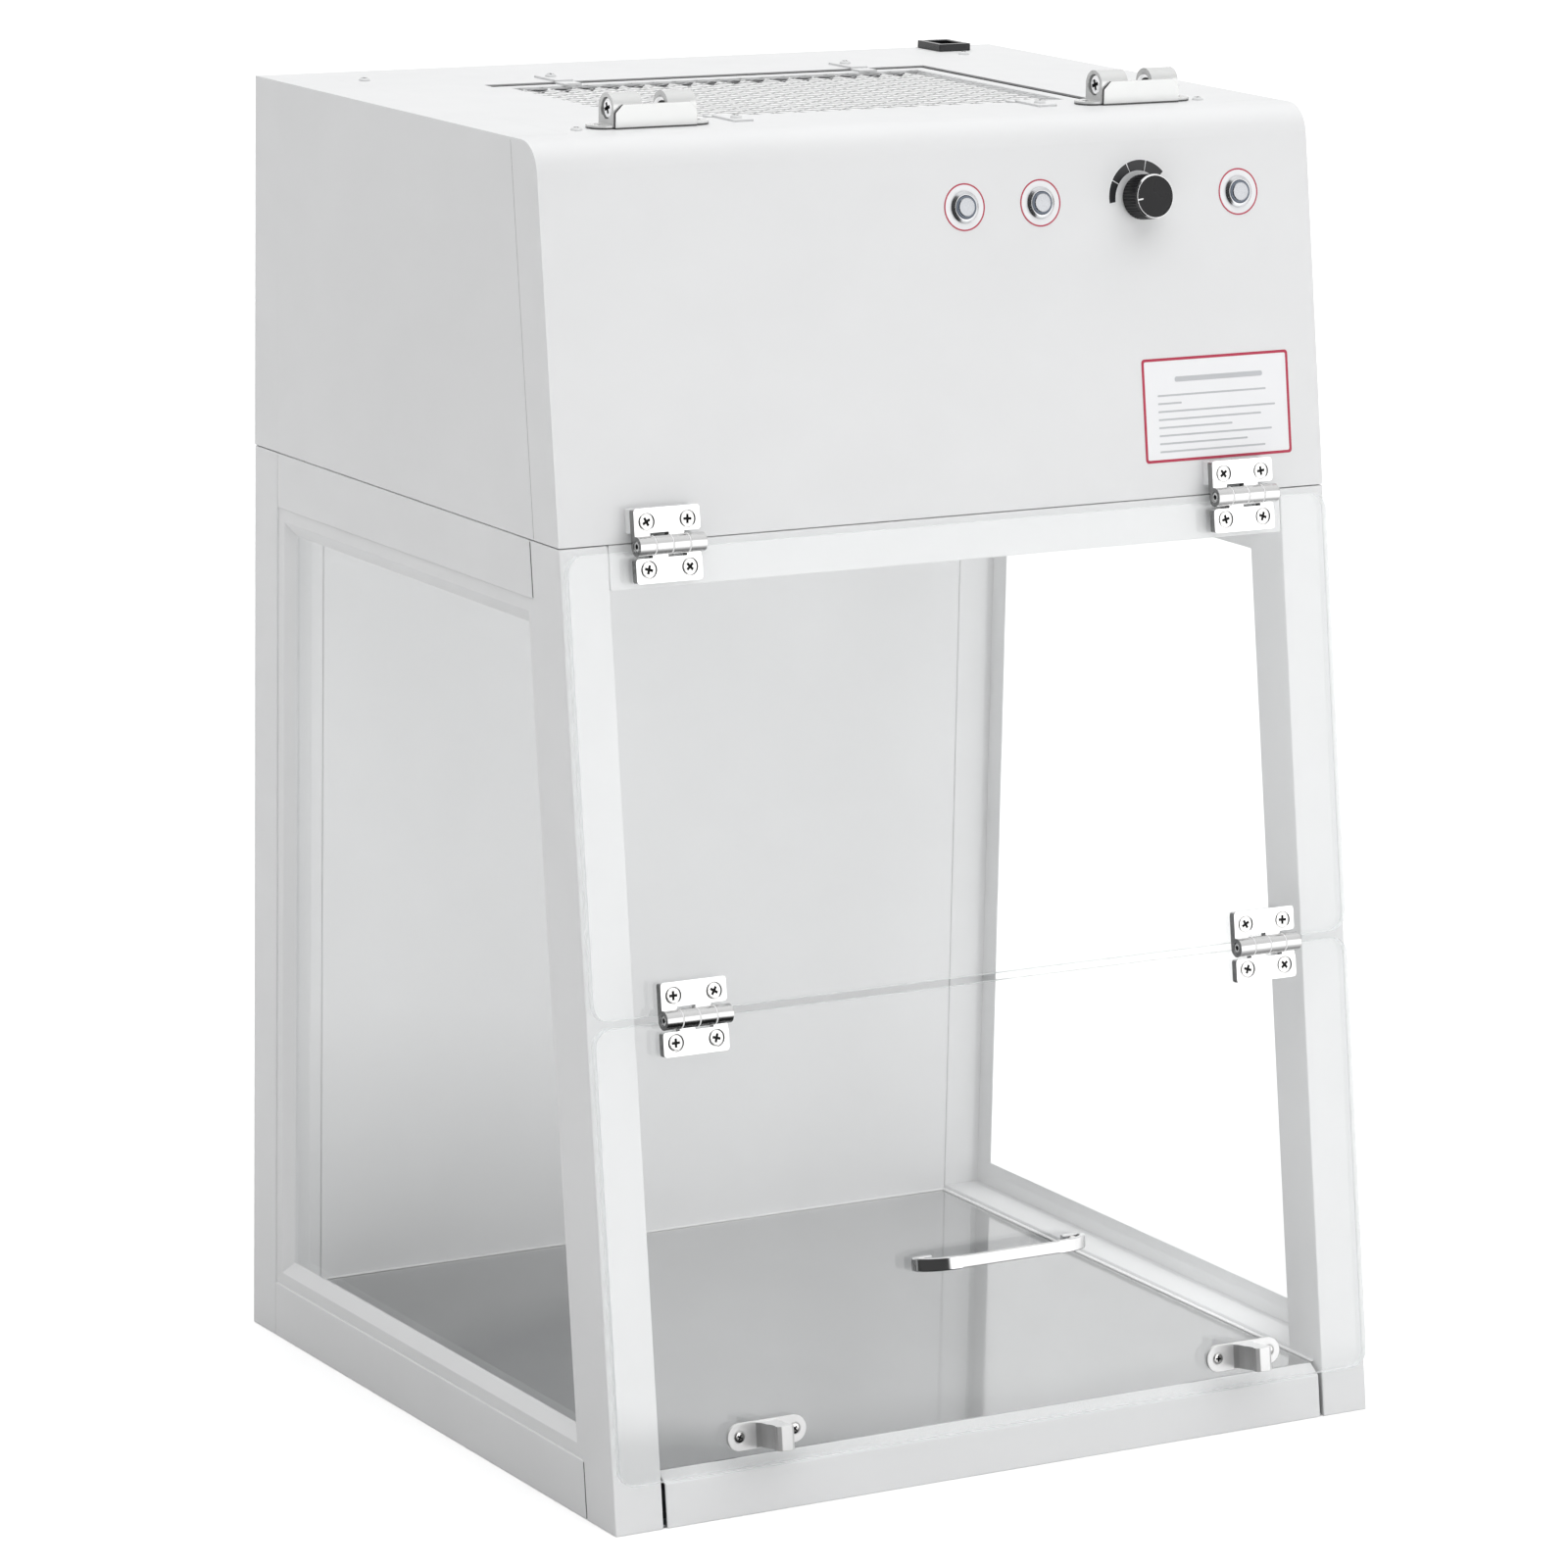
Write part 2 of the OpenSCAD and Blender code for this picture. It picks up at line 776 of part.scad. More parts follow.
// One leaf; side is 1 above the axis and -1 below it, and first is its first knuckle.
module leaf(side, first) {
    difference() {
        union() {
            translate([0, -face, 0]) rotate([90, 0, 0]) linear_extrude(leaf_t)
                translate([leaf_w / 2, side * (leaf_cut + leaf_h) / 2]) rounded(leaf_w, leaf_h - leaf_cut, 2);
            for (i = [first, first + 2]) {
                translate([i * knuckle_pitch, -axis_off, 0]) rotate([0, 90, 0])
                    cylinder(r = knuckle_r, h = knuckle_l);
                tab_end = min(i * knuckle_pitch + knuckle_l, leaf_w - 0.5);
                box([i * knuckle_pitch, tab_end], [-face - leaf_t, -face],
                    side > 0 ? [0, leaf_cut + 4] : [-leaf_cut - 4, 0]);
            }
        }
        translate([-1, -axis_off, 0]) rotate([0, 90, 0]) cylinder(r = pin_r + 0.05, h = 60);
        for (dx = [-screw_dx, screw_dx]) translate([leaf_w / 2 + dx, -face, side * screw_du])
            rotate([90, 0, 0]) {
                translate([0, 0, -1]) cylinder(r = hinge_screw_r + 0.05, h = leaf_t);
                translate([0, 0, leaf_t - sink_h]) cylinder(r1 = hinge_screw_r + 0.05, r2 = sink_r,
                    h = sink_h + eps);
            }
    }
}

module hinge_pins(axis) {
    at_hinges(axis) translate([0, -axis_off, 0]) rotate([0, 90, 0]) {
        difference() {
            translate([0, 0, 0.3]) cylinder(r = pin_r, h = barrel_l - 0.6);
            for (z = [0, barrel_l]) translate([0, 0, z - 3]) cylinder(r = 1.5, h = 6);
        }
        for (i = [1:3]) translate([0, 0, i * knuckle_pitch - 0.95]) difference() {
            cylinder(r = washer_r, h = 0.9);
            translate([0, 0, -1]) cylinder(r = pin_r + 0.02, h = 3);
        }
    }
}

// A countersunk hinge screw; its head ends just below the face of the leaf.
module countersunk(length) {
    taper = hinge_head_r - hinge_screw_r;
    translate([0, 0, leaf_t - 0.4 - taper]) cylinder(r1 = hinge_screw_r, r2 = hinge_head_r, h = taper);
    translate([0, 0, -length]) cylinder(r = hinge_screw_r, h = length + leaf_t - taper);
}

module cabinet_hinge_leaves() {
    color("silver") at_hinges(upper_axis) leaf(1, 0);
}

module hinge_spacers() {
    color("white") difference() {
        at_hinges(upper_axis) translate([leaf_w / 2, 0, (leaf_cut + leaf_h) / 2]) rotate([90, 0, 0])
            linear_extrude(face) rounded(leaf_w, leaf_h - leaf_cut, 1);
        at_hinge_screws(upper_axis, 1, -1) cylinder(r = hinge_screw_r + 0.05, h = 10);
    }
}

module upper_hinge_pins() {
    color("silver") hinge_pins(upper_axis);
}

module lower_hinge_pins() {
    color("silver") hinge_pins(lower_axis);
}

module sash_upper_leaves() {
    color("silver") {
        at_hinges(upper_axis) leaf(-1, 1);
        at_hinges(lower_axis) leaf(1, 0);
    }
}

module sash_lower_leaves() {
    color("silver") at_hinges(lower_axis) leaf(-1, 1);
}

// ---------------------------------------------------------------- sash

panel_screw = panel_t - 0.5;

module panel(up0, up1) {
    outwards(0, (up0 + up1) / 2, seat) linear_extrude(panel_t) rounded(2 * panel_x, up1 - up0, panel_r);
}

module sash_upper() {
    color([0.85, 0.92, 0.95, 0.35]) difference() {
        panel(lower_axis + 2.2, upper_axis - 2.5);
        at_hinge_screws(upper_axis, -1, face - panel_screw) cylinder(r = hinge_screw_r + 0.05, h = 10);
        at_hinge_screws(lower_axis, 1, face - panel_screw) cylinder(r = hinge_screw_r + 0.05, h = 10);
    }
}

module sash_upper_screws() {
    color("silver") {
        at_hinge_screws(upper_axis, -1, face) countersunk(panel_screw - 0.2);
        at_hinge_screws(lower_axis, 1, face) countersunk(panel_screw - 0.2);
    }
}

strike_places = [for (x = [-catch_x, catch_x]) x + fitting_shift - 0.5];
strike_screw_dx = 17.5;
handle_foot_x = handle_l / 2 - 7;
handle_t = 3;

module at_strike_screws() {
    for (x = strike_places, dx = [-strike_screw_dx, strike_screw_dx])
        outwards(x + dx, strike_up, face) children();
}

module at_handle_feet() {
    for (x = [-handle_foot_x, handle_foot_x]) outwards(handle_x + x, handle_up, 0) children();
}

module sash_lower() {
    color([0.85, 0.92, 0.95, 0.35]) difference() {
        panel(sash_foot, lower_axis - 1.8);
        at_hinge_screws(lower_axis, -1, face - panel_screw) cylinder(r = hinge_screw_r + 0.05, h = 10);
        at_strike_screws() translate([0, 0, -panel_screw]) cylinder(r = screw_r + 0.05, h = 10);
        at_handle_feet() cylinder(r = 2.05, h = 10);
    }
}

// A flat bow: two inturned feet, two rounded corners and a straight bar, seen from above.
module handle() {
    bar_h = 7.5;
    corner = 14;
    foot_l = 13;
    hx = handle_l / 2 - corner;
    color("silver") difference() {
        outwards(handle_x, handle_up, face) translate([0, bar_h / 2, 0]) rotate([90, 0, 0])
            linear_extrude(bar_h) {
                for (s = [-1, 1]) {
                    translate([s * hx, handle_d - corner]) intersection() {
                        difference() {
                            circle(corner);
                            circle(corner - handle_t);
                        }
                        translate([s > 0 ? 0 : -corner, 0]) square(corner);
                    }
                    translate([s * (handle_l / 2 - handle_t / 2), (handle_d - corner) / 2])
                        square([handle_t, handle_d - corner], center = true);
                    translate([s * (handle_l - foot_l) / 2, handle_t / 2])
                        square([foot_l, handle_t], center = true);
                }
                translate([0, handle_d - handle_t / 2]) square([2 * hx, handle_t], center = true);
            }
        at_handle_feet() translate([0, 0, face - 1]) cylinder(r = 2.05, h = handle_t + 2);
    }
}

// Strike: an obround plate and a tongue with a waist that the balls snap around.
module strike() {
    plate_l = 50;
    plate_h = 15.4;
    tongue_h = 13.8;
    waist = 4.3;
    bulb = 5.3;
    difference() {
        linear_extrude(strike_t) rounded(plate_l, plate_h, plate_h / 2 - 0.01);
        for (dx = [-strike_screw_dx, strike_screw_dx]) translate([dx, 0, -eps])
            cylinder(r1 = screw_r + 0.05, r2 = head_r + 0.55, h = strike_t + 2 * eps);
    }
    translate([0, tongue_h / 2, strike_t]) rotate([90, 0, 0]) linear_extrude(tongue_h) {
        h = tongue_l - strike_t;
        n = neck - strike_t;
        polygon([
            [-7, 0], [7, 0], [bulb, 3], [bulb, n - 5.5], [waist, n - 2], [waist, n + 2], [bulb, n + 4.5],
            [bulb, h - 1.5], [bulb - 2, h], [2 - bulb, h], [-bulb, h - 1.5], [-bulb, n + 4.5],
            [-waist, n + 2], [-waist, n - 2], [-bulb, n - 5.5], [-bulb, 3]
        ]);
    }
}

module strikes() {
    color("silver") for (x = strike_places) outwards(x, strike_up, face) strike();
}

module sash_lower_screws() {
    color("silver") {
        at_hinge_screws(lower_axis, -1, face) countersunk(panel_screw - 0.2);
        at_strike_screws() {
            cylinder(r1 = screw_r, r2 = head_r + 0.5, h = strike_t);
            translate([0, 0, -panel_screw + 0.2]) cylinder(r = screw_r, h = panel_screw);
        }
        at_handle_feet() {
            translate([0, 0, seat + 0.2]) cylinder(r = 2, h = face + handle_t - seat);
            translate([0, 0, face + handle_t]) cylinder(r1 = 3.2, r2 = 2.6, h = 1.4);
        }
    }
}

// ---------------------------------------------------------------- catches

catch_places = [for (x = [-catch_x, catch_x]) x + fitting_shift - 0.5];
catch_plate_l = 75;
catch_plate_t = 2;
catch_screw_dx = 32;

module at_catches() {
    for (x = catch_places) translate([x, catch_y, height]) children();
}

module catch_frames() {
    bracket = 51;
    plate_h = 13.5;
    nick = 4.5;
    front = -barrel_r - 0.3;
    barrel_c = barrel_z - height;
    color("silver") at_catches() difference() {
        union() {
            linear_extrude(catch_plate_t) rounded(catch_plate_l, 2 * barrel_r, barrel_r - 0.01);
            box([-bracket / 2, bracket / 2], [front - sheet, 0], [0, catch_plate_t]);
            translate([0, front, 0]) rotate([90, 0, 0]) linear_extrude(sheet) polygon([
                [-bracket / 2, 0], [bracket / 2, 0], [bracket / 2, plate_h - nick],
                [bracket / 2 - nick, plate_h], [nick - bracket / 2, plate_h], [-bracket / 2, plate_h - nick]
            ]);
            both_sides() across(barrel_in, barrel_out) {
                translate([0, barrel_c]) circle(barrel_r);
                translate([-barrel_r, catch_plate_t]) square([2 * barrel_r, barrel_c - catch_plate_t]);
            }
        }
        both_sides() translate([0, 0, barrel_c]) rotate([0, 90, 0]) {
            translate([0, 0, barrel_in + 0.5]) cylinder(r = catch_bore, h = 30);
            translate([0, 0, barrel_in - 1]) cylinder(r = 5.3, h = 5);
        }
        for (x = [-catch_screw_dx, catch_screw_dx]) translate([x, 0, -eps])
            cylinder(r1 = screw_r + 0.05, r2 = head_r + 0.05, h = catch_plate_t + 2 * eps);
    }
}

module catch_adjusters() {
    color("silver") at_catches() both_sides() translate([0, 0, barrel_z - height]) rotate([0, 90, 0])
        difference() {
            translate([0, 0, barrel_out - 6]) cylinder(r = catch_bore - 0.05, h = 5.4);
            for (a = [0, 90]) rotate(a) translate([-3.5, -0.6, barrel_out - 2]) cube([7, 1.2, 5]);
        }
}

module catch_ball(place, side) {
    color("silver") translate([catch_places[place] + side * ball_x, catch_y, barrel_z]) sphere(r = ball_r);
}

module ball_left_outer() {
    catch_ball(0, -1);
}

module ball_left_inner() {
    catch_ball(0, 1);
}

module ball_right_inner() {
    catch_ball(1, -1);
}

module ball_right_outer() {
    catch_ball(1, 1);
}

// ---------------------------------------------------------------- fasteners of the body

module pan_screw(length) {
    cylinder(r1 = 3.4, r2 = 2.5, h = 1.8);
    translate([0, 0, -length]) cylinder(r = screw_r, h = length + 0.5);
}

module cabinet_screws() {
    color("silver") {
        for (p = lid_screws) translate([p[0], p[1], height]) pan_screw(6);
        at_clips() translate([0, -15, 1.2]) pan_screw(7);
        for (p = back_screws) translate([p[0], back_y, p[1]]) rotate([-90, 0, 0]) pan_screw(6);
        at_catches() for (x = [-catch_screw_dx, catch_screw_dx]) translate([x, 0, 0])
            cylinder(r1 = screw_r, r2 = head_r, h = catch_plate_t);
        at_hinge_screws(upper_axis, 1, face) countersunk(face + sheet + 4);
    }
}

cabinet_front();
cabinet_side_left();
cabinet_side_right();
cabinet_back();
top_lid();
cabinet_deck();
prefilter_frame();
prefilter_mesh();
prefilter_media();
filter_clips();
fan_plate();
motor_bracket();
motor_stator();
hepa_frame();
hepa_media();
diffuser_grille();
lamp_holder();
uv_tube();
led_bar();
power_supply();
wiring();
speed_controller();
switch_barrels();
front_labels();
power_inlet();
front_posts();
rear_posts();
side_rails();
front_rail_top();
front_rail_bottom();
back_wall();
window_frames();
side_windows();
work_surface();
base_pan();
cabinet_hinge_leaves();
hinge_spacers();
upper_hinge_pins();
catch_frames();
catch_adjusters();
cabinet_screws();
sash_upper();
sash_upper_leaves();
lower_hinge_pins();
sash_upper_screws();
sash_lower();
sash_lower_leaves();
handle();
strikes();
sash_lower_screws();
speed_knob();
speed_shaft();
light_button();
sterilizer_button();
power_button();
impeller();
ball_left_outer();
ball_left_inner();
ball_right_inner();
ball_right_outer();
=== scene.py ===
"""The looks of a bench-top clean-air hood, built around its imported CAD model. Metres."""

import math

import bmesh
import bpy
from mathutils import Matrix, Vector


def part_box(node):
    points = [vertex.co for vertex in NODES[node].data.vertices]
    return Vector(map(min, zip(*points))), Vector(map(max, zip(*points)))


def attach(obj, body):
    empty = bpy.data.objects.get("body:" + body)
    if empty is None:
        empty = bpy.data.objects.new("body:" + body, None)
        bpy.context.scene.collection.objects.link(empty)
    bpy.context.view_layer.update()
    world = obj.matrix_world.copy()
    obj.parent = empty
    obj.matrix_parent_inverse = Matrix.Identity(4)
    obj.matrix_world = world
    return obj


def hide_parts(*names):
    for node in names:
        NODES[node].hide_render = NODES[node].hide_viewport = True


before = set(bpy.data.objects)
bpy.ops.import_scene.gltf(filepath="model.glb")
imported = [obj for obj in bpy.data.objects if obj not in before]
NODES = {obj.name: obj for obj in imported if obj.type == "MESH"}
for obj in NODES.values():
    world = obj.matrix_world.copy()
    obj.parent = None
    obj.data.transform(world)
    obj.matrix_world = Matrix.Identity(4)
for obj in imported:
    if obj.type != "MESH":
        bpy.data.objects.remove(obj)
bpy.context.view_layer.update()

MM = 0.001

# ---------------------------------------------------------------- places on the frame

# The front face leans back by 110 mm over the hood's height.
FOOT_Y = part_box("front_posts")[0].y
LEAN = math.atan2(110, 750)
SLOPE = Vector((0, math.sin(LEAN), math.cos(LEAN)))
OUTWARD = Vector((0, -math.cos(LEAN), math.sin(LEAN)))
FACE_AXES = Matrix((Vector((1, 0, 0)), SLOPE, OUTWARD)).transposed().to_4x4()


def on_face(x, up, off=0.0):
    """A place on the front face: X right, Y up the slope, Z outwards."""
    return Matrix.Translation(Vector((x, FOOT_Y, 0)) + SLOPE * up + OUTWARD * off) @ FACE_AXES


def facing(origin, axis):
    """A place whose Z points along axis."""
    return Matrix.Translation(origin) @ Vector(axis).to_track_quat("Z", "Y").to_matrix().to_4x4()


TO_FACE = on_face(0, 0).inverted()


def node_points(node):
    return [v.co.copy() for v in NODES[node].data.vertices]


def extent(points, to_local=None):
    """Lowest and highest corner of some points, in the frame that to_local leads to."""
    local = [to_local @ p for p in points] if to_local else points
    return (
        Vector([min(p[i] for p in local) for i in range(3)]),
        Vector([max(p[i] for p in local) for i in range(3)]),
    )


def islands(node):
    """The separate solids of a CAD node, each as a list of its points."""
    mesh = NODES[node].data
    keys = [tuple(round(c, 6) for c in v.co) for v in mesh.vertices]
    root = {k: k for k in keys}

    def find(k):
        while root[k] != k:
            root[k] = root[root[k]]
            k = root[k]
        return k

    for face in mesh.polygons:
        first = find(keys[face.vertices[0]])
        for i in face.vertices[1:]:
            root[find(keys[i])] = first
    groups = {}
    for k in set(keys):
        groups.setdefault(find(k), []).append(Vector(k))
    return sorted(groups.values(), key=lambda g: tuple(extent(g)[0]))


def middle(low, high):
    return (low + high) / 2


# ---------------------------------------------------------------- materials


def node_material(name):
    """An empty node material with its output."""
    material = bpy.data.materials.new(name)
    material.use_nodes = True
    tree = material.node_tree
    tree.nodes.clear()
    return material, tree, tree.nodes.new("ShaderNodeOutputMaterial")


def noise(tree, scale, detail=3.0, stretch=(1, 1, 1), roughness=0.55):
    """Procedural noise in the object's own space; stretch below 1 draws it out along an axis."""
    coords = tree.nodes.new("ShaderNodeTexCoord")
    mapping = tree.nodes.new("ShaderNodeMapping")
    mapping.inputs["Scale"].default_value = stretch
    texture = tree.nodes.new("ShaderNodeTexNoise")
    texture.inputs["Scale"].default_value = scale
    texture.inputs["Detail"].default_value = detail
    texture.inputs["Roughness"].default_value = roughness
    tree.links.new(coords.outputs["Object"], mapping.inputs["Vector"])
    tree.links.new(mapping.outputs["Vector"], texture.inputs["Vector"])
    return texture.outputs["Fac"]


def ramp(tree, value, stops):
    """A colour ramp over value; stops are (place, colour) pairs."""
    node = tree.nodes.new("ShaderNodeValToRGB")
    elements = node.color_ramp.elements
    while len(elements) < len(stops):
        elements.new(0.5)
    for element, (place, colour) in zip(elements, stops):
        element.position = place
        element.color = (*colour, 1)
    tree.links.new(value, node.inputs["Fac"])
    return node.outputs["Color"]


def spread(tree, value, low, high):
    """Maps value's usual range to low..high."""
    node = tree.nodes.new("ShaderNodeMapRange")
    node.inputs["From Min"].default_value = 0.3
    node.inputs["From Max"].default_value = 0.7
    node.inputs["To Min"].default_value = low
    node.inputs["To Max"].default_value = high
    tree.links.new(value, node.inputs["Value"])
    return node.outputs["Result"]


def bumps(tree, height, distance, strength=1.0, under=None):
    node = tree.nodes.new("ShaderNodeBump")
    node.inputs["Strength"].default_value = strength
    node.inputs["Distance"].default_value = distance
    tree.links.new(height, node.inputs["Height"])
    if under:
        tree.links.new(under, node.inputs["Normal"])
    return node.outputs["Normal"]


def principled(tree, colour, rough, normal=None, metallic=0.0, **constants):
    """A Principled shader whose colour and roughness are sockets, and the rest plain numbers."""
    node = tree.nodes.new("ShaderNodeBsdfPrincipled")
    tree.links.new(colour, node.inputs["Base Color"])
    tree.links.new(rough, node.inputs["Roughness"])
    if normal:
        tree.links.new(normal, node.inputs["Normal"])
    node.inputs["Metallic"].default_value = metallic
    for name, value in constants.items():
        node.inputs[name.replace("_", " ")].default_value = value
    return node.outputs["BSDF"]


def shades(colour, change):
    """Two tones of a colour, change apart either way."""
    return [tuple(min(1, c * factor) for c in colour) for factor in (1 - change, 1 + change)]


def coated(name, colour, rough, grain=900, depth=0.03, change=0.012, **constants):
    """Paint, film or moulded plastic: soft clouds of tone over a fine pebbled skin."""
    material, tree, output = node_material(name)
    dark, light = shades(colour, change)
    clouds = noise(tree, 9, 4)
    tone = ramp(tree, clouds, [(0.3, dark), (0.7, light)])
    gloss = spread(tree, noise(tree, 45, 3), rough[0], rough[1])
    skin = bumps(tree, noise(tree, grain, 2), depth * MM, 0.6)
    skin = bumps(tree, noise(tree, 60, 2), 0.04 * MM, 0.25, skin)
    shader = principled(tree, tone, gloss, skin, **constants)
    tree.links.new(shader, output.inputs["Surface"])
    return material


def place_along(tree, direction, source="Object"):
    """How far a point of the resting object lies along a direction, or how far its normal turns to it."""
    coords = tree.nodes.new("ShaderNodeTexCoord")
    dot = tree.nodes.new("ShaderNodeVectorMath")
    dot.operation = "DOT_PRODUCT"
    dot.inputs[1].default_value = direction
    tree.links.new(coords.outputs[source], dot.inputs[0])
    return dot.outputs["Value"]


def shaded(tree, tone, value, start, end, shade):
    """Multiplies a tone by 1 where value is start, and by shade where it is end."""
    node = tree.nodes.new("ShaderNodeMapRange")
    for key, number in (("From Min", start), ("From Max", end), ("To Min", 1), ("To Max", shade)):
        node.inputs[key].default_value = number
    tree.links.new(value, node.inputs["Value"])
    product = tree.nodes.new("ShaderNodeVectorMath")
    product.operation = "MULTIPLY"
    tree.links.new(tone, product.inputs[0])
    tree.links.new(node.outputs["Result"], product.inputs[1])
    return product.outputs["Vector"]


def metal(name, colour, rough, brush=None, change=0.05, depth=0.02, zones=(), bare=1.0):
    """Metal; brush is its grain's stretch, and zones are painted shade, darker by place or by side.

    A zone is (source, direction, start, end, shade), as in place_along and shaded. Below 1, bare
    leaves a share of the surface dull, as on a matt plated finish.
    """
    material, tree, output = node_material(name)
    dark, light = shades(colour, change)
    grain = noise(tree, 900, 4, brush or (1, 1, 1))
    tone = ramp(tree, noise(tree, 30, 5), [(0.32, dark), (0.68, light)])
    for source, direction, start, end, shade in zones:
        tone = shaded(tree, tone, place_along(tree, direction, source), start, end, shade)
    gloss = spread(tree, grain, rough[0], rough[1])
    skin = bumps(tree, grain, depth * MM, 0.35)
    shader = principled(tree, tone, gloss, skin, metallic=bare)
    tree.links.new(shader, output.inputs["Surface"])
    return material


# How strongly clear sheet mirrors, from face on (0) to edge on (1).
SHINE = ((0.0, 0.06), (0.5, 0.08), (0.75, 0.2), (0.95, 0.75))


def clear(name, tint, haze, haze_colour=(0.95, 0.96, 0.97)):
    """Clear sheet: it lets light straight through, mirrors at a slant, and has a breath of haze."""
    material, tree, output = node_material(name)
    through = tree.nodes.new("ShaderNodeBsdfTransparent")
    through.inputs["Color"].default_value = (*tint, 1)
    mirror = tree.nodes.new("ShaderNodeBsdfGlossy")
    mirror.inputs["Color"].default_value = (1, 1, 1, 1)
    mirror.inputs["Roughness"].default_value = 0.03
    slant = tree.nodes.new("ShaderNodeLayerWeight")
    slant.inputs["Blend"].default_value = 0.5
    shine = ramp(tree, slant.outputs["Facing"], [(level, (c, c, c)) for level, c in SHINE])
    film = tree.nodes.new("ShaderNodeBsdfDiffuse")
    film.inputs["Color"].default_value = (*haze_colour, 1)
    dusty = tree.nodes.new("ShaderNodeMixShader")
    tree.links.new(spread(tree, noise(tree, 14, 4), haze[0], haze[1]), dusty.inputs["Fac"])
    tree.links.new(through.outputs["BSDF"], dusty.inputs[1])
    tree.links.new(film.outputs["BSDF"], dusty.inputs[2])
    sheet = tree.nodes.new("ShaderNodeMixShader")
    tree.links.new(shine, sheet.inputs["Fac"])
    tree.links.new(dusty.outputs["Shader"], sheet.inputs[1])
    tree.links.new(mirror.outputs["BSDF"], sheet.inputs[2])
    path = tree.nodes.new("ShaderNodeLightPath")
    shader = sheet.outputs["Shader"]
    for ray in ("Is Shadow Ray", "Is Diffuse Ray"):
        lit = tree.nodes.new("ShaderNodeMixShader")
        tree.links.new(path.outputs[ray], lit.inputs["Fac"])
        tree.links.new(shader, lit.inputs[1])
        tree.links.new(through.outputs["BSDF"], lit.inputs[2])
        shader = lit.outputs["Shader"]
    tree.links.new(shader, output.inputs["Surface"])
    return material


PAINT = coated("powder_coat_white", (0.80, 0.805, 0.81), (0.40, 0.52))
WASHER = coated("washer_nylon", (0.93, 0.93, 0.93), (0.35, 0.45), grain=1500, depth=0.01)
FILM = coated("label_film_white", (0.88, 0.885, 0.90), (0.28, 0.38), grain=2500, depth=0.004)
RED = coated("label_ink_red", (0.44, 0.02, 0.06), (0.3, 0.42), grain=2500, depth=0.004, change=0.06)
INK = coated("label_ink_black", (0.012, 0.012, 0.014), (0.3, 0.42), grain=2500, depth=0.004, change=0.1)
INK_GREY = coated("label_ink_grey", (0.52, 0.53, 0.55), (0.35, 0.45), grain=2500, depth=0.004, change=0.1)
KNOB = coated(
    "knob_black",
    (0.012, 0.012, 0.013),
    (0.22, 0.34),
    grain=1600,
    depth=0.012,
    change=0.1,
    Specular_IOR_Level=0.25,
)
INLET = coated("inlet_black", (0.014, 0.014, 0.016), (0.12, 0.22), grain=1400, depth=0.008, change=0.1)
GROOVE = coated("switch_ring_dark", (0.16, 0.19, 0.24), (0.2, 0.3), grain=2000, depth=0.005, change=0.08)
POINTER = coated("pointer_white", (0.9, 0.9, 0.9), (0.35, 0.45), grain=2000, depth=0.005)
FIBRE = coated("filter_fibre", (0.94, 0.94, 0.94), (0.85, 0.97), grain=800, depth=0.12, change=0.03)
SEAM = coated("seam_shadow", (0.10, 0.10, 0.10), (0.6, 0.75), change=0.1)
DIFFUSER = coated("lamp_frosted", (0.9, 0.9, 0.88), (0.5, 0.62), grain=1800, depth=0.01)
BOARD = coated("board_green", (0.03, 0.16, 0.07), (0.3, 0.45), change=0.15)
# Black rubber for the wiring, also used as painted shade in the strips round the pre-filter.
RUBBER_AND_SHADE = coated("cable_rubber_and_shade", (0.02, 0.02, 0.022), (0.55, 0.7), change=0.15)
WHEEL = coated("wheel_enamel", (0.055, 0.065, 0.08), (0.35, 0.5), change=0.1)

FLOOR_STEEL = metal("worktop_steel", (0.46, 0.465, 0.47), (0.05, 0.10), (1, 0.05, 1), 0.03, 0.0004)
# Painted shade on the hinge leaves: faces turned left or right are darker, and the rolled knuckles are darker
# too, partly their brushed finish and partly painted shade.
LEFT, RIGHT = Vector((-1, 0, 0)), Vector((1, 0, 0))
KNUCKLE = OUTWARD.dot(Vector((0, FOOT_Y, 0))) + 10.2 * MM
PAINTED_SIDE_SHADE = (("Normal", LEFT, 0.6, 0.9, 0.3), ("Normal", RIGHT, 0.6, 0.9, 0.3))
LID_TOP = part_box("top_lid")[1].z
HINGE_STEEL = metal(
    "hinge_steel",
    (0.92, 0.92, 0.92),
    (0.14, 0.2),
    None,
    0.015,
    0.0012,
    (*PAINTED_SIDE_SHADE, ("Object", OUTWARD, KNUCKLE, KNUCKLE + 0.4 * MM, 0.8)),
)
PIN_STEEL = metal("pin_steel", (0.72, 0.72, 0.72), (0.16, 0.24), None, 0.03, 0.002)
# Painted shade on the strikes: faces turned left or right are darker.
STRIKE = metal(
    "strike_cast",
    (0.94, 0.94, 0.94),
    (0.3, 0.4),
    None,
    0.03,
    0.006,
    (("Normal", LEFT, 0.5, 0.9, 0.5), ("Normal", RIGHT, 0.5, 0.9, 0.5)),
    0.6,
)
SCREW = metal("screw_nickel", (0.86, 0.855, 0.845), (0.14, 0.2), None, 0.03, 0.002)
HANDLE = metal("handle_chrome", (0.88, 0.88, 0.885), (0.05, 0.12), None, 0.02, 0.003)
HANDLE_SATIN = metal("handle_satin", (0.86, 0.86, 0.86), (0.26, 0.36), (0.03, 1, 1), 0.03, 0.01)
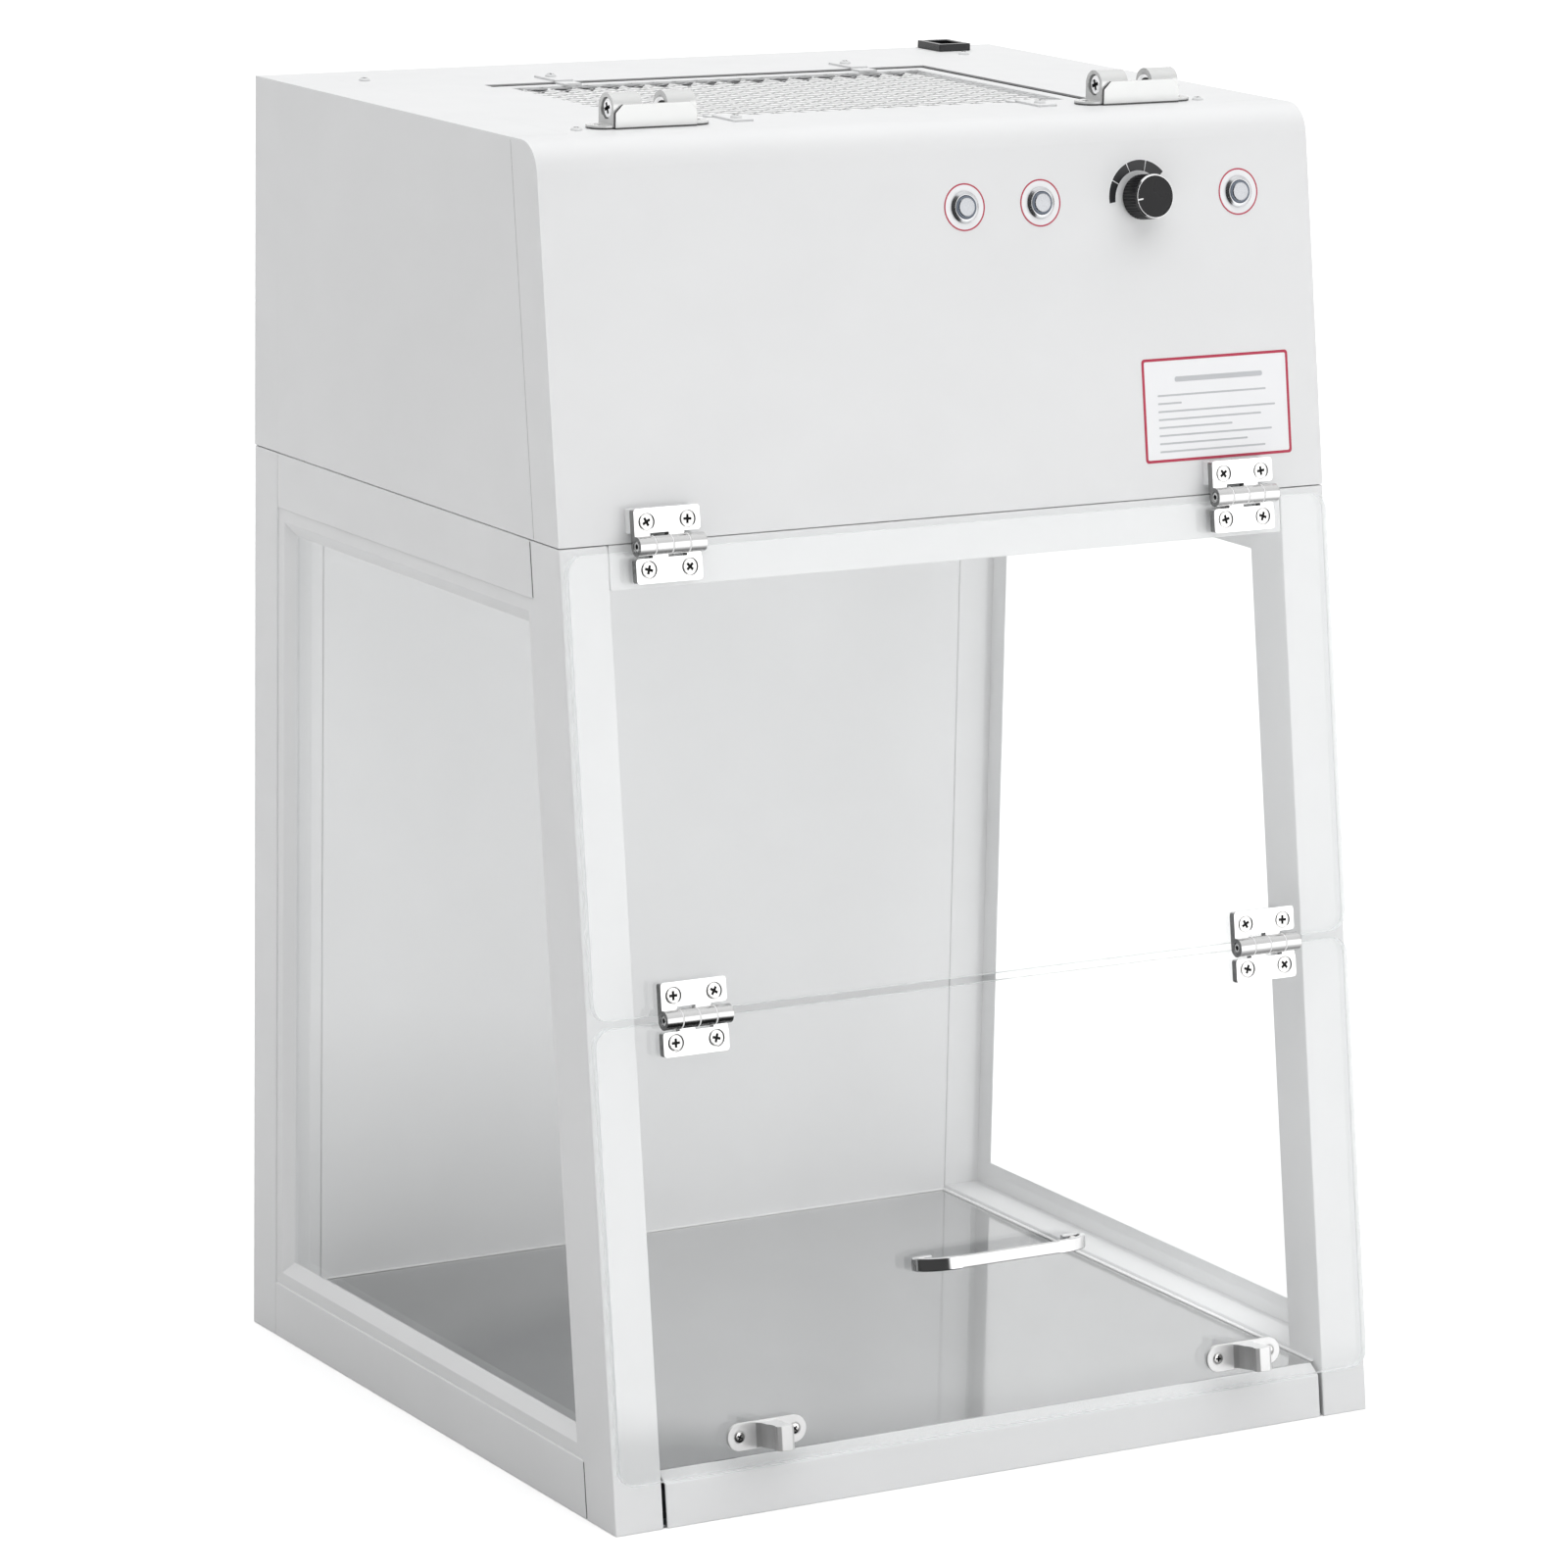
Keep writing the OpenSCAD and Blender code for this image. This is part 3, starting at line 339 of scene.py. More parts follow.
# Painted shade on the catches: faces turned left are darker, and a thin dark line is painted along their foot
# where they meet the lid.
CATCH = metal(
    "catch_nickel",
    (0.76, 0.765, 0.76),
    (0.2, 0.25),
    None,
    0.015,
    0.0008,
    (
        ("Normal", LEFT, 0.7, 0.95, 0.8),
        ("Object", Vector((0, 0, -1)), -LID_TOP - 1.2 * MM, -LID_TOP - 0.8 * MM, 0.12),
    ),
    0.5,
)
# Painted shade: a near-black for the dark lines on the catch plate ends.
PAINTED_EDGE_SHADE = metal("painted_edge_shade", (0.10, 0.10, 0.10), (0.3, 0.4), None, 0.05, 0.004)
BALL = metal("ball_chrome", (0.86, 0.86, 0.87), (0.03, 0.07), None, 0.02, 0.002)
BUTTON = metal("bezel_steel", (0.74, 0.75, 0.77), (0.18, 0.28), None, 0.03, 0.006)
CAP = metal("button_steel", (0.46, 0.47, 0.49), (0.2, 0.3), None, 0.03, 0.006)
SILVER = metal("knob_cut_edge", (0.90, 0.90, 0.91), (0.10, 0.18), None, 0.03, 0.004)
ZINC = metal("galvanised_sheet", (0.62, 0.64, 0.66), (0.30, 0.5), None, 0.14, 0.02)
WIRE = metal("mesh_zinc", (0.55, 0.555, 0.56), (0.42, 0.52), None, 0.02, 0.003)
GRILLE = metal("grille_steel", (0.70, 0.70, 0.70), (0.22, 0.34), (0.04, 1, 1), 0.04)
ALUMINIUM = metal("filter_aluminium", (0.76, 0.77, 0.78), (0.28, 0.4), (0.04, 1, 1), 0.04)
IRON = metal("motor_iron", (0.16, 0.16, 0.165), (0.4, 0.55), None, 0.15)

ACRYLIC = clear("acrylic_clear", (0.99, 0.992, 0.992), (0.03, 0.06))
ACRYLIC_EDGE = clear("acrylic_edge", (0.93, 0.95, 0.95), (0.46, 0.54), (0.92, 0.93, 0.94))
WINDOW = clear("window_clear", (0.99, 0.992, 0.992), (0.01, 0.025))
LAMP_GLASS = clear("lamp_glass", (0.86, 0.90, 0.96), (0.10, 0.16))

# ---------------------------------------------------------------- mesh tools


def add_piece(name, bm, materials, body, replaces=(), bevel=0.0, smooth=35):
    """Makes an object of bm that rides on a CAD body."""
    bmesh.ops.remove_doubles(bm, verts=bm.verts, dist=1e-7)
    bmesh.ops.recalc_face_normals(bm, faces=bm.faces)
    mesh = bpy.data.meshes.new(name)
    bm.to_mesh(mesh)
    bm.free()
    for material in materials:
        mesh.materials.append(material)
    for face in mesh.polygons:
        face.use_smooth = True
    mesh.set_sharp_from_angle(angle=math.radians(smooth))
    piece = bpy.data.objects.new(name, mesh)
    bpy.context.scene.collection.objects.link(piece)
    if bevel:
        round_edges(piece, bevel)
    else:
        even_normals(piece)
    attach(piece, body)
    if replaces:
        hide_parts(*replaces)
    return piece


def round_edges(obj, width, segments=2):
    modifier = obj.modifiers.new("round_edges", "BEVEL")
    modifier.width = width
    modifier.segments = segments
    modifier.limit_method = "ANGLE"
    modifier.angle_limit = math.radians(32)
    even_normals(obj)


def even_normals(obj):
    """Keeps flat faces flat in the shading."""
    normals = obj.modifiers.new("even_normals", "WEIGHTED_NORMAL")
    normals.keep_sharp = True


def dress(nodes, material, bevel=0.0):
    """Gives CAD nodes a material, and rounds their edges."""
    for name in nodes.split():
        obj = NODES[name]
        obj.data.materials.clear()
        obj.data.materials.append(material)
        if bevel:
            weld = obj.modifiers.new("weld", "WELD")
            weld.merge_threshold = 2e-6
            flat = obj.modifiers.new("join_flats", "DECIMATE")
            flat.decimate_type = "DISSOLVE"
            flat.angle_limit = math.radians(0.3)
            round_edges(obj, bevel)


def add_ring(bm, place, points):
    return [bm.verts.new(place @ Vector(p)) for p in points]


def bridge(bm, a, b, slot=0):
    for i in range(len(a)):
        j = (i + 1) % len(a)
        face = bm.faces.new((a[i], a[j], b[j], b[i]))
        face.material_index = slot


def cap(bm, ring, slot=0):
    bm.faces.new(ring).material_index = slot


# Angles round a Phillips head: dense near the ends of the four arms, so the cross is crisp.
ARM_WIDTH = 0.3
ARM = math.degrees(math.atan(ARM_WIDTH))
CROSS_ANGLES = [
    math.radians(90 * quarter + a)
    for quarter in range(4)
    for a in (-45, -37, -29, -21, -ARM, 0, ARM, 21, 29, 37)
]
ROUND_ANGLES = [math.radians(7.5 * i) for i in range(48)]


def cross(length):
    """Outline of a Phillips cross, as a radius at each of the cross angles."""
    radii = []
    for angle in CROSS_ANGLES:
        a = math.radians(abs((math.degrees(angle) + 45) % 90 - 45))
        tip = a <= math.radians(ARM + 0.01)
        radii.append(length / math.cos(a) if tip else length * ARM_WIDTH / math.sin(a))
    return radii


def lathe(bm, place, profile, angles=ROUND_ANGLES, ends=(True, True)):
    """Turns a profile of (radius or radii, height, material slot) rows; the slot is the face after it."""
    rings = []
    for radius, height, _ in profile:
        radii = radius if isinstance(radius, list) else [radius] * len(angles)
        points = [(r * math.cos(a), r * math.sin(a), height) for r, a in zip(radii, angles)]
        rings.append(add_ring(bm, place, points))
    for (_, _, slot), a, b in zip(profile, rings, rings[1:]):
        bridge(bm, a, b, slot)
    if ends[0]:
        cap(bm, rings[0], profile[0][2])
    if ends[1]:
        cap(bm, rings[-1], profile[-1][2])


def phillips(bm, place, radius, rise, depth, base=-0.3 * MM, turn=0.0, collar=0.0):
    """A screw head with a cross recess; rise is its dome above place, collar the seat round it. Recess and
    seat are dark, painted shade.
    """
    arm = radius * 0.6
    seat = [(radius + collar, base - 0.3 * MM, 1), (radius + collar, base, 1)] if collar else []
    lathe(
        bm,
        place @ Matrix.Rotation(turn, 4, "Z"),
        seat
        + [
            (radius, base, 0),
            (radius, rise * 0.15, 0),
            (radius * 0.93, rise * 0.55, 0),
            (radius * 0.72, rise * 0.92, 0),
            (cross(arm), rise, 1),
            (cross(arm * 0.78), rise - depth, 1),
            (cross(arm * 0.3), rise - depth * 1.35, 1),
        ],
        CROSS_ANGLES,
    )


def rounded_outline(w, h, r, steps=6):
    """A rectangle with round corners, counter-clockwise."""
    points = []
    for quarter, (sx, sy) in enumerate(((1, 1), (-1, 1), (-1, -1), (1, -1))):
        for i in range(steps + 1):
            a = math.radians(90 * (quarter + i / steps))
            points.append((sx * (w / 2 - r) + r * math.cos(a), sy * (h / 2 - r) + r * math.sin(a)))
    return points


def arc_outline(outer, inner, start, end, steps=10):
    """A stretch of ring between two radii; inner may change along it, as a function of the angle."""
    angles = [math.radians(start + (end - start) * i / steps) for i in range(steps + 1)]
    return [(outer * math.cos(a), outer * math.sin(a)) for a in angles] + [
        (inner(math.degrees(a)) * math.cos(a), inner(math.degrees(a)) * math.sin(a)) for a in reversed(angles)
    ]


def prism(bm, place, outline, z0, z1, side_slot=0, face_slot=0):
    low = add_ring(bm, place, [(x, y, z0) for x, y in outline])
    high = add_ring(bm, place, [(x, y, z1) for x, y in outline])
    bridge(bm, low, high, side_slot)
    cap(bm, low, face_slot)
    cap(bm, high, face_slot)


def band(bm, place, outer, inner, z0, z1, slot=0):
    """A closed flat band between two outlines with the same number of points."""
    rings = [
        add_ring(bm, place, [(x, y, z) for x, y in outline])
        for outline, z in ((outer, z0), (outer, z1), (inner, z1), (inner, z0))
    ]
    for a, b in zip(rings, rings[1:] + rings[:1]):
        bridge(bm, a, b, slot)


def circle(r, n=64):
    return [(r * math.cos(2 * math.pi * i / n), r * math.sin(2 * math.pi * i / n)) for i in range(n)]


# ---------------------------------------------------------------- carried-over CAD nodes

dress("cabinet_front cabinet_side_left cabinet_side_right cabinet_back top_lid", PAINT, 0.5 * MM)
dress("front_posts rear_posts side_rails front_rail_top front_rail_bottom back_wall", PAINT, 0.9 * MM)
dress("window_frames", PAINT, 0.5 * MM)
dress("cabinet_deck lamp_holder", PAINT, 0.3 * MM)
dress("prefilter_frame filter_clips", PAINT, 0.25 * MM)
dress("hinge_spacers", PAINT, 0.3 * MM)
dress("work_surface", FLOOR_STEEL, 0.6 * MM)
dress("base_pan fan_plate motor_bracket", ZINC, 0.2 * MM)
dress("diffuser_grille", GRILLE)
dress("hepa_frame power_supply", ALUMINIUM, 0.3 * MM)
dress("hepa_media", FIBRE)
dress("cabinet_hinge_leaves sash_upper_leaves sash_lower_leaves", HINGE_STEEL, 0.22 * MM)
dress("catch_frames", CATCH, 0.3 * MM)
dress("strikes", STRIKE, 0.35 * MM)
dress("ball_left_outer ball_left_inner ball_right_inner ball_right_outer", BALL)
dress("speed_shaft", BUTTON)
dress("motor_stator", IRON, 0.5 * MM)
dress("impeller", WHEEL)
dress("uv_tube", LAMP_GLASS)
dress("led_bar", DIFFUSER, 0.8 * MM)
dress("wiring", RUBBER_AND_SHADE)
dress("speed_controller", BOARD)
dress("power_inlet", INLET, 0.5 * MM)
dress("side_windows", WINDOW)

# ---------------------------------------------------------------- painted seam shadows and the worktop's sealing bead


def side_seam(bm, side, x, y, z0, z1):
    """The painted shadow in the bottom of a seam on a side face; it slants back with the front. Y is its
    place at z0.
    """
    back = (z1 - z0) * math.tan(LEAN)
    half = 0.2 * MM
    corners = ((y - half, z0), (y + half, z0), (y + back + half, z1), (y + back - half, z1))
    rings = []
    for depth in (0.06 * MM, 0.6 * MM):
        rings.append([bm.verts.new((side * (x - depth), cy, cz)) for cy, cz in corners])
    bridge(bm, *rings)
    cap(bm, rings[0])
    cap(bm, rings[1])


def seams():
    bm = bmesh.new()
    low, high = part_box("cabinet_side_left")
    for side in (-1, 1):
        side_seam(bm, side, -low.x, low.y - 0.2 * MM, low.z + 0.6 * MM, high.z - 1.5 * MM)
    for rail in islands("side_rails"):
        low, high = extent(rail)
        side = math.copysign(1, low.x)
        side_seam(bm, side, max(abs(low.x), abs(high.x)), low.y, low.z + 1 * MM, high.z - 1 * MM)
    low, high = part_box("top_lid")
    for side in (-1, 1):
        corners = [(side * high.x - 0.12 * MM, low.y), (side * high.x + 0.12 * MM, low.y)]
        corners += [(x, high.y) for x, _ in reversed(corners)]
        prism(bm, Matrix.Translation((0, 0, high.z)), corners, -0.6 * MM, -0.05 * MM)
    add_piece("seam_shadows", bm, [SEAM], "cabinet")


def worktop_bead():
    """A thin white bead along the sides and back of the steel worktop."""
    low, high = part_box("work_surface")
    over, cover = 1.3 * MM, 0.9 * MM
    outer = [(low.x - over, low.y), (low.x - over, high.y + 0.2 * MM)]
    inner = [(low.x + cover, low.y), (low.x + cover, high.y - cover)]
    half = outer + [(-x, y) for x, y in reversed(outer)]
    outline = half + [(-x, y) for x, y in inner] + list(reversed(inner))
    bm = bmesh.new()
    prism(bm, Matrix.Translation((0, 0, high.z)), outline, 0.02 * MM, 1.1 * MM)
    add_piece("worktop_bead", bm, [WASHER], "cabinet", bevel=0.3 * MM)


seams()
worktop_bead()

# ---------------------------------------------------------------- sash panels


def sash_panel(name, node, body):
    """A clear panel with round corners and a polished, milky edge."""
    low, high = extent(node_points(node), TO_FACE)
    bm = bmesh.new()
    centre = middle(low, high)
    outline = rounded_outline(high.x - low.x, high.y - low.y, 10 * MM, 8)
    prism(bm, on_face(centre.x, centre.y), outline, low.z, high.z, side_slot=1)
    return add_piece(name, bm, [ACRYLIC, ACRYLIC_EDGE], body, [node], 0.4 * MM)


sash_panel("sash_upper_panel", "sash_upper", "upper_leaf")
sash_panel("sash_lower_panel", "sash_lower", "lower_leaf")

# ---------------------------------------------------------------- screws

# Painted shade: the near-black of screw recesses, the seats round screw heads and the holes in the pin ends.
RECESS_SHADE = coated("painted_recess_shade", (0.012, 0.012, 0.012), (0.55, 0.7), grain=2000, depth=0.005, change=0.2)


def face_screws(bm, node, radius, level, collar=0.0):
    """Puts a Phillips head on each screw of a node that points out of the front face."""
    for i, solid in enumerate(islands(node)):
        low, high = extent(solid, TO_FACE)
        if level[0] < high.z < level[1]:
            centre = middle(low, high)
            place = on_face(centre.x, centre.y, high.z)
            phillips(bm, place, radius, 0.25 * MM, 0.9 * MM, -0.8 * MM, 1.3 * i, collar)


HINGE_LEVEL = (9.5 * MM, 9.7 * MM)
STRIKE_LEVEL = (7.4 * MM, 7.6 * MM)

bm, lid = bmesh.new(), bmesh.new()
face_screws(bm, "cabinet_screws", 4.25 * MM, HINGE_LEVEL, 0.6 * MM)
back_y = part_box("cabinet_back")[1].y
for i, solid in enumerate(islands("cabinet_screws")):
    low, high = extent(solid)
    centre = middle(low, high)
    if high.y > back_y + 1 * MM:
        place = facing((centre.x, back_y, centre.z), (0, 1, 0))
        phillips(bm, place, 3.3 * MM, 1.7 * MM, 1.0 * MM, 0, i)
    elif abs(high.z - LID_TOP - 2 * MM) < 0.1 * MM:
        phillips(bm, Matrix.Translation((centre.x, centre.y, high.z)), 2.75 * MM, 0.1 * MM, 0.8 * MM, turn=i)
    elif high.z > LID_TOP + 1.6 * MM:
        place = Matrix.Translation((centre.x, centre.y, high.z - 1.8 * MM))
        phillips(lid, place, 3.3 * MM, 1.7 * MM, 1.0 * MM, 0, i)
add_piece("lid_screw_heads", lid, [PAINT, RECESS_SHADE], "cabinet")
add_piece("cabinet_screw_heads", bm, [SCREW, RECESS_SHADE], "cabinet", ["cabinet_screws"])

bm = bmesh.new()
face_screws(bm, "sash_upper_screws", 4.25 * MM, HINGE_LEVEL, 0.6 * MM)
add_piece("sash_upper_screw_heads", bm, [SCREW, RECESS_SHADE], "upper_leaf", ["sash_upper_screws"])

bm = bmesh.new()
face_screws(bm, "sash_lower_screws", 4.25 * MM, HINGE_LEVEL, 0.6 * MM)
face_screws(bm, "sash_lower_screws", 2.9 * MM, STRIKE_LEVEL, 0.5 * MM)
for solid in islands("sash_lower_screws"):
    low, high = extent(solid, TO_FACE)
    if high.z > HINGE_LEVEL[1]:
        centre = middle(low, high)
        phillips(bm, on_face(centre.x, centre.y, high.z - 1.2 * MM), 3.1 * MM, 1.2 * MM, 1.0 * MM, 0, 0.4)
add_piece("sash_lower_screw_heads", bm, [SCREW, RECESS_SHADE], "lower_leaf", ["sash_lower_screws"])

# ---------------------------------------------------------------- hinge pins

# The end of a hinge pin, as (radius, depth, slot) rows in mm: a hole in painted shade inside a turned rim.
PIN_END = (
    (1.1, 1.6, 1),
    (1.35, 0.5, 1),
    (1.45, 0.1, 0),
    (1.75, 0.0, 0),
    (2.45, 0.05, 0),
    (2.9, 0.4, 0),
    (2.95, 0.8, 0),
)


def hinge_pins(name, node, body):
    """Pins with a hollow end, and three white washers between the knuckles of each hinge."""
    rods, washers = bmesh.new(), bmesh.new()
    for solid in islands(node):
        low, high = extent(solid, TO_FACE)
        centre = middle(low, high)
        length = high.x - low.x
        place = on_face(low.x, centre.y, centre.z) @ Matrix.Rotation(math.radians(90), 4, "Y")
        outer = (high.y - low.y) / 2
        if length > 10 * MM:
            end = []
            for r, z, slot in PIN_END:
                end.append((r * MM, z * MM, slot))
            far = [(r, length - z, 0) for r, z, _ in reversed(end)]
            lathe(rods, place, end + far)
        else:
            inner = outer - 2.4 * MM
            near = [(inner, 0, 0), (outer - 0.2 * MM, 0, 0), (outer, 0.2 * MM, 0)]
            far = [(outer, length - 0.2 * MM, 0), (outer - 0.2 * MM, length, 0), (inner, length, 0)]
            lathe(washers, place, near + far)
    add_piece(name + "_rods", rods, [PIN_STEEL, RECESS_SHADE], body, [node])
    add_piece(name + "_washers", washers, [WASHER], body)


hinge_pins("upper_pins", "upper_hinge_pins", "cabinet")
hinge_pins("lower_pins", "lower_hinge_pins", "upper_leaf")

# ---------------------------------------------------------------- catches

catch_centres = [
    (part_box("ball_left_outer")[0].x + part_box("ball_left_inner")[1].x) / 2,
    (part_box("ball_right_inner")[0].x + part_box("ball_right_outer")[1].x) / 2,
]
bm = bmesh.new()
for solid in islands("catch_adjusters"):
    low, high = extent(solid)
    centre = middle(low, high)
    nearest = min(catch_centres, key=lambda x: abs(x - centre.x))
    side = math.copysign(1, centre.x - nearest)
    tip = high.x if side > 0 else low.x
    head = facing((tip - side * 0.6 * MM, centre.y, centre.z), (side, 0, 0))
    phillips(bm, head, 5.3 * MM, 0.5 * MM, 1.6 * MM, -4 * MM, 0.35)
add_piece("catch_adjuster_screws", bm, [BALL, RECESS_SHADE], "cabinet", ["catch_adjusters"])

# Painted shade along the ends of a catch's front plate: up from the lid and round the cut corner, seen from
# the front.
half, tall, nick, thin, sheet = 25.5 * MM, 13.5 * MM, 4.5 * MM, 0.3 * MM, 1.5 * MM
proud = 0.06 * MM
plate_end = [(half + proud, 0.1 * MM), (half + proud, tall - nick), (half - nick, tall + proud)]
plate_end += [(half - nick - thin, tall - thin), (half - thin, tall - nick - thin), (half - thin, 0.1 * MM)]
upright = Matrix.Rotation(math.radians(90), 4, "X")
bm = bmesh.new()
for solid in islands("catch_frames"):
    low, high = extent(solid)
    place = Matrix.Translation(((low.x + high.x) / 2, low.y + sheet, LID_TOP)) @ upright
    for side in (-1, 1):
        prism(bm, place, [(side * x, z) for x, z in plate_end], 0.15 * MM, sheet - 0.15 * MM)
add_piece("catch_plate_edge_shade", bm, [PAINTED_EDGE_SHADE], "cabinet")

# ---------------------------------------------------------------- handle


def bend(centre, radii, start, end, steps):
    """Points of an oval arc in the handle's plane; angles in degrees."""
    angles = [math.radians(start + (end - start) * i / steps) for i in range(steps + 1)]
    return [(centre[0] + radii[0] * math.cos(a), centre[1] + radii[1] * math.sin(a)) for a in angles]


def handle_bow():
    """One flat strap: inturned feet, round corners, and a bar that is a little slimmer."""
    low, high = extent(node_points("handle"), TO_FACE)
    centre = middle(low, high)
    place = on_face(centre.x, centre.y)
    half, wide = (high.x - low.x) / 2, high.y - low.y
    thick, corner, foot = 3 * MM, 14 * MM, 13 * MM
    base, top, edge = low.z + thick / 2, high.z - thick / 2, half - thick / 2
    small, big, sweep = 2 * MM, corner - thick / 2, 21 * MM
    path = [(foot - half, base)]
    path += bend((small - edge, base + small), (small, small), 270, 180, 5)
    path += bend((sweep - edge, top - big), (sweep, big), 180, 90, 18)
    slim_start = edge - sweep - 2 * MM
    path += [(-slim_start - 0.3 * MM, top), (-slim_start + 0.3 * MM, top)]
    path += [(-x, z) for x, z in reversed(path)]
    bm, rings = bmesh.new(), []
    for i, (x, z) in enumerate(path):
        before, after = path[max(0, i - 1)], path[min(len(path) - 1, i + 1)]
        along = Vector((after[0] - before[0], 0, after[1] - before[1])).normalized()
        out = Vector((-along.z, 0, along.x))
        slim = 0.93 if abs(x) < slim_start and z > base + small else 1.0
        section = rounded_outline(thick * slim, wide * slim, 0.7 * MM, 4)
        spine = Vector((x, 0, z))
        rings.append([bm.verts.new(place @ (spine + out * u + Vector((0, v, 0)))) for u, v in section])
    for (x, z), a, b in zip(path, rings, rings[1:]):
        satin = abs(x) < slim_start + 0.2 * MM and z > base + small and x < slim_start - 0.2 * MM
        bridge(bm, a, b, 1 if satin else 0)
    cap(bm, rings[0])
    cap(bm, rings[-1])
    add_piece("handle_bow", bm, [HANDLE, HANDLE_SATIN], "lower_leaf", ["handle"], smooth=30)


handle_bow()

# ---------------------------------------------------------------- knob, buttons and labels


def face_place(node):
    """Where a round part stands on the front face, level with the face itself."""
    centre = middle(*extent(node_points(node), TO_FACE))
    return centre.x, centre.y


def speed_knob():
    x, up = face_place("speed_knob")
    low, high = extent(node_points("speed_knob"), TO_FACE)
    radius, tall = (high.x - low.x) / 2, high.z
    teeth = 44
    angles = [2 * math.pi * i / (teeth * 4) for i in range(teeth * 4)]

    def knurled(r, deep):
        return [r - deep * (0, 0.5, 1, 0.5)[i % 4] for i in range(teeth * 4)]

    groove = 0.55 * MM
    bm = bmesh.new()
    lathe(
        bm,
        on_face(x, up),
        [
            (radius - 1.2 * MM, 1.0 * MM, 0),
            (radius - 0.25 * MM, 1.0 * MM, 0),
            (knurled(radius, groove * 0.4), 1.6 * MM, 0),
            (knurled(radius, groove), 2.2 * MM, 0),
            (knurled(radius, groove), tall - 2.4 * MM, 0),
            (radius - 0.1 * MM, tall - 1.5 * MM, 0),
            (radius - 0.05 * MM, tall - 0.75 * MM, 1),
            (radius - 0.75 * MM, tall, 1),
            (radius - 0.95 * MM, tall, 0),
            (radius - 1.15 * MM, tall - 0.2 * MM, 0),
            (radius * 0.5, tall - 0.3 * MM, 0),
            (radius * 0.1, tall - 0.35 * MM, 0),
        ],
        angles,
    )
    add_piece("knob_grip", bm, [KNOB, SILVER], "knob", ["speed_knob"], smooth=28)
    bm = bmesh.new()
    turned = on_face(x, up) @ Matrix.Rotation(math.radians(187), 4, "Z")
    mark = turned @ Matrix.Translation((radius - 2.9 * MM, 0, 0))
    prism(bm, mark, rounded_outline(3.6 * MM, 0.8 * MM, 0.3 * MM), tall - 0.8 * MM, tall - 0.08 * MM)
    add_piece("knob_pointer", bm, [POINTER], "knob")


speed_knob()


def push_button(node, body):
    """A turned steel cap inside a dark translucent ring."""
    x, up = face_place(node)
    low, high = extent(node_points(node), TO_FACE)
    r, top = (high.x - low.x) / 2, high.z
    bm = bmesh.new()
    lathe(
        bm,
        on_face(x, up),
        [
            (r, low.z, 1),
            (r, top - 0.9 * MM, 1),
            (r - 0.15 * MM, top - 0.7 * MM, 1),
            (r - 1.0 * MM, top - 0.75 * MM, 0),
            (r - 1.05 * MM, top - 0.3 * MM, 0),
            (r - 1.35 * MM, top, 0),
            (r * 0.6, top - 0.12 * MM, 0),
            (r * 0.2, top - 0.2 * MM, 0),
        ],
    )
    add_piece(node + "_cap", bm, [CAP, GROOVE], body, [node], smooth=28)
    return x, up


buttons = [
    push_button("light_button", "light_switch"),
    push_button("sterilizer_button", "sterilizer_switch"),
    push_button("power_button", "power_switch"),
]

bezels, discs, rings = bmesh.new(), bmesh.new(), bmesh.new()
for x, up in buttons:
    place = on_face(x, up)
    lathe(
        bezels,
        place,
        [
            (6.35 * MM, -8 * MM, 0),
            (6.35 * MM, 1.5 * MM, 0),
            (6.75 * MM, 2.0 * MM, 0),
            (7.5 * MM, 1.95 * MM, 0),
            (8.75 * MM, 1.05 * MM, 0),
            (9.0 * MM, 0.8 * MM, 0),
            (9.0 * MM, 0.2 * MM, 0),
            (8.0 * MM, 0.19 * MM, 0),
            (8.0 * MM, -30 * MM, 0),
            (6.4 * MM, -30 * MM, 0),
        ],
        ends=(False, False),
    )
    lathe(bezels, place, [(6.4 * MM, -30 * MM, 0), (6.38 * MM, -8 * MM, 0)], ends=(True, True))
    band(discs, place, circle(13.3 * MM), circle(8.1 * MM), 0.02 * MM, 0.14 * MM)
    band(rings, place, circle(13.3 * MM), circle(12.45 * MM), 0.1 * MM, 0.2 * MM)
add_piece("switch_bezels", bezels, [BUTTON], "cabinet", ["switch_barrels"])
add_piece("button_discs", discs, [FILM], "cabinet", ["front_labels"])
add_piece("button_rings", rings, [RED], "cabinet")

REST_ANGLE, SWEEP = 187, 148
SCALE_R = 21 * MM


def scale_inner(angle):
    """The scale's band grows wider towards full speed."""
    return (17 - 3 * (REST_ANGLE - angle) / SWEEP) * MM


knob_x, knob_up = face_place("speed_knob")
scale, border = bmesh.new(), bmesh.new()
for i in range(4):
    start = REST_ANGLE - i * SWEEP / 4
    end = start - SWEEP / 4 + 1.6
    prism(scale, on_face(knob_x, knob_up), arc_outline(SCALE_R, scale_inner, start, end), 0.05 * MM, 0.2 * MM)
outline = arc_outline(
    SCALE_R + 0.5 * MM, lambda a: scale_inner(a) - 0.5 * MM, REST_ANGLE + 1.5, REST_ANGLE - SWEEP, 40
)
prism(border, on_face(knob_x, knob_up), outline, 0.02 * MM, 0.12 * MM)
add_piece("speed_scale", scale, [INK], "cabinet")
add_piece("speed_scale_border", border, [FILM], "cabinet")

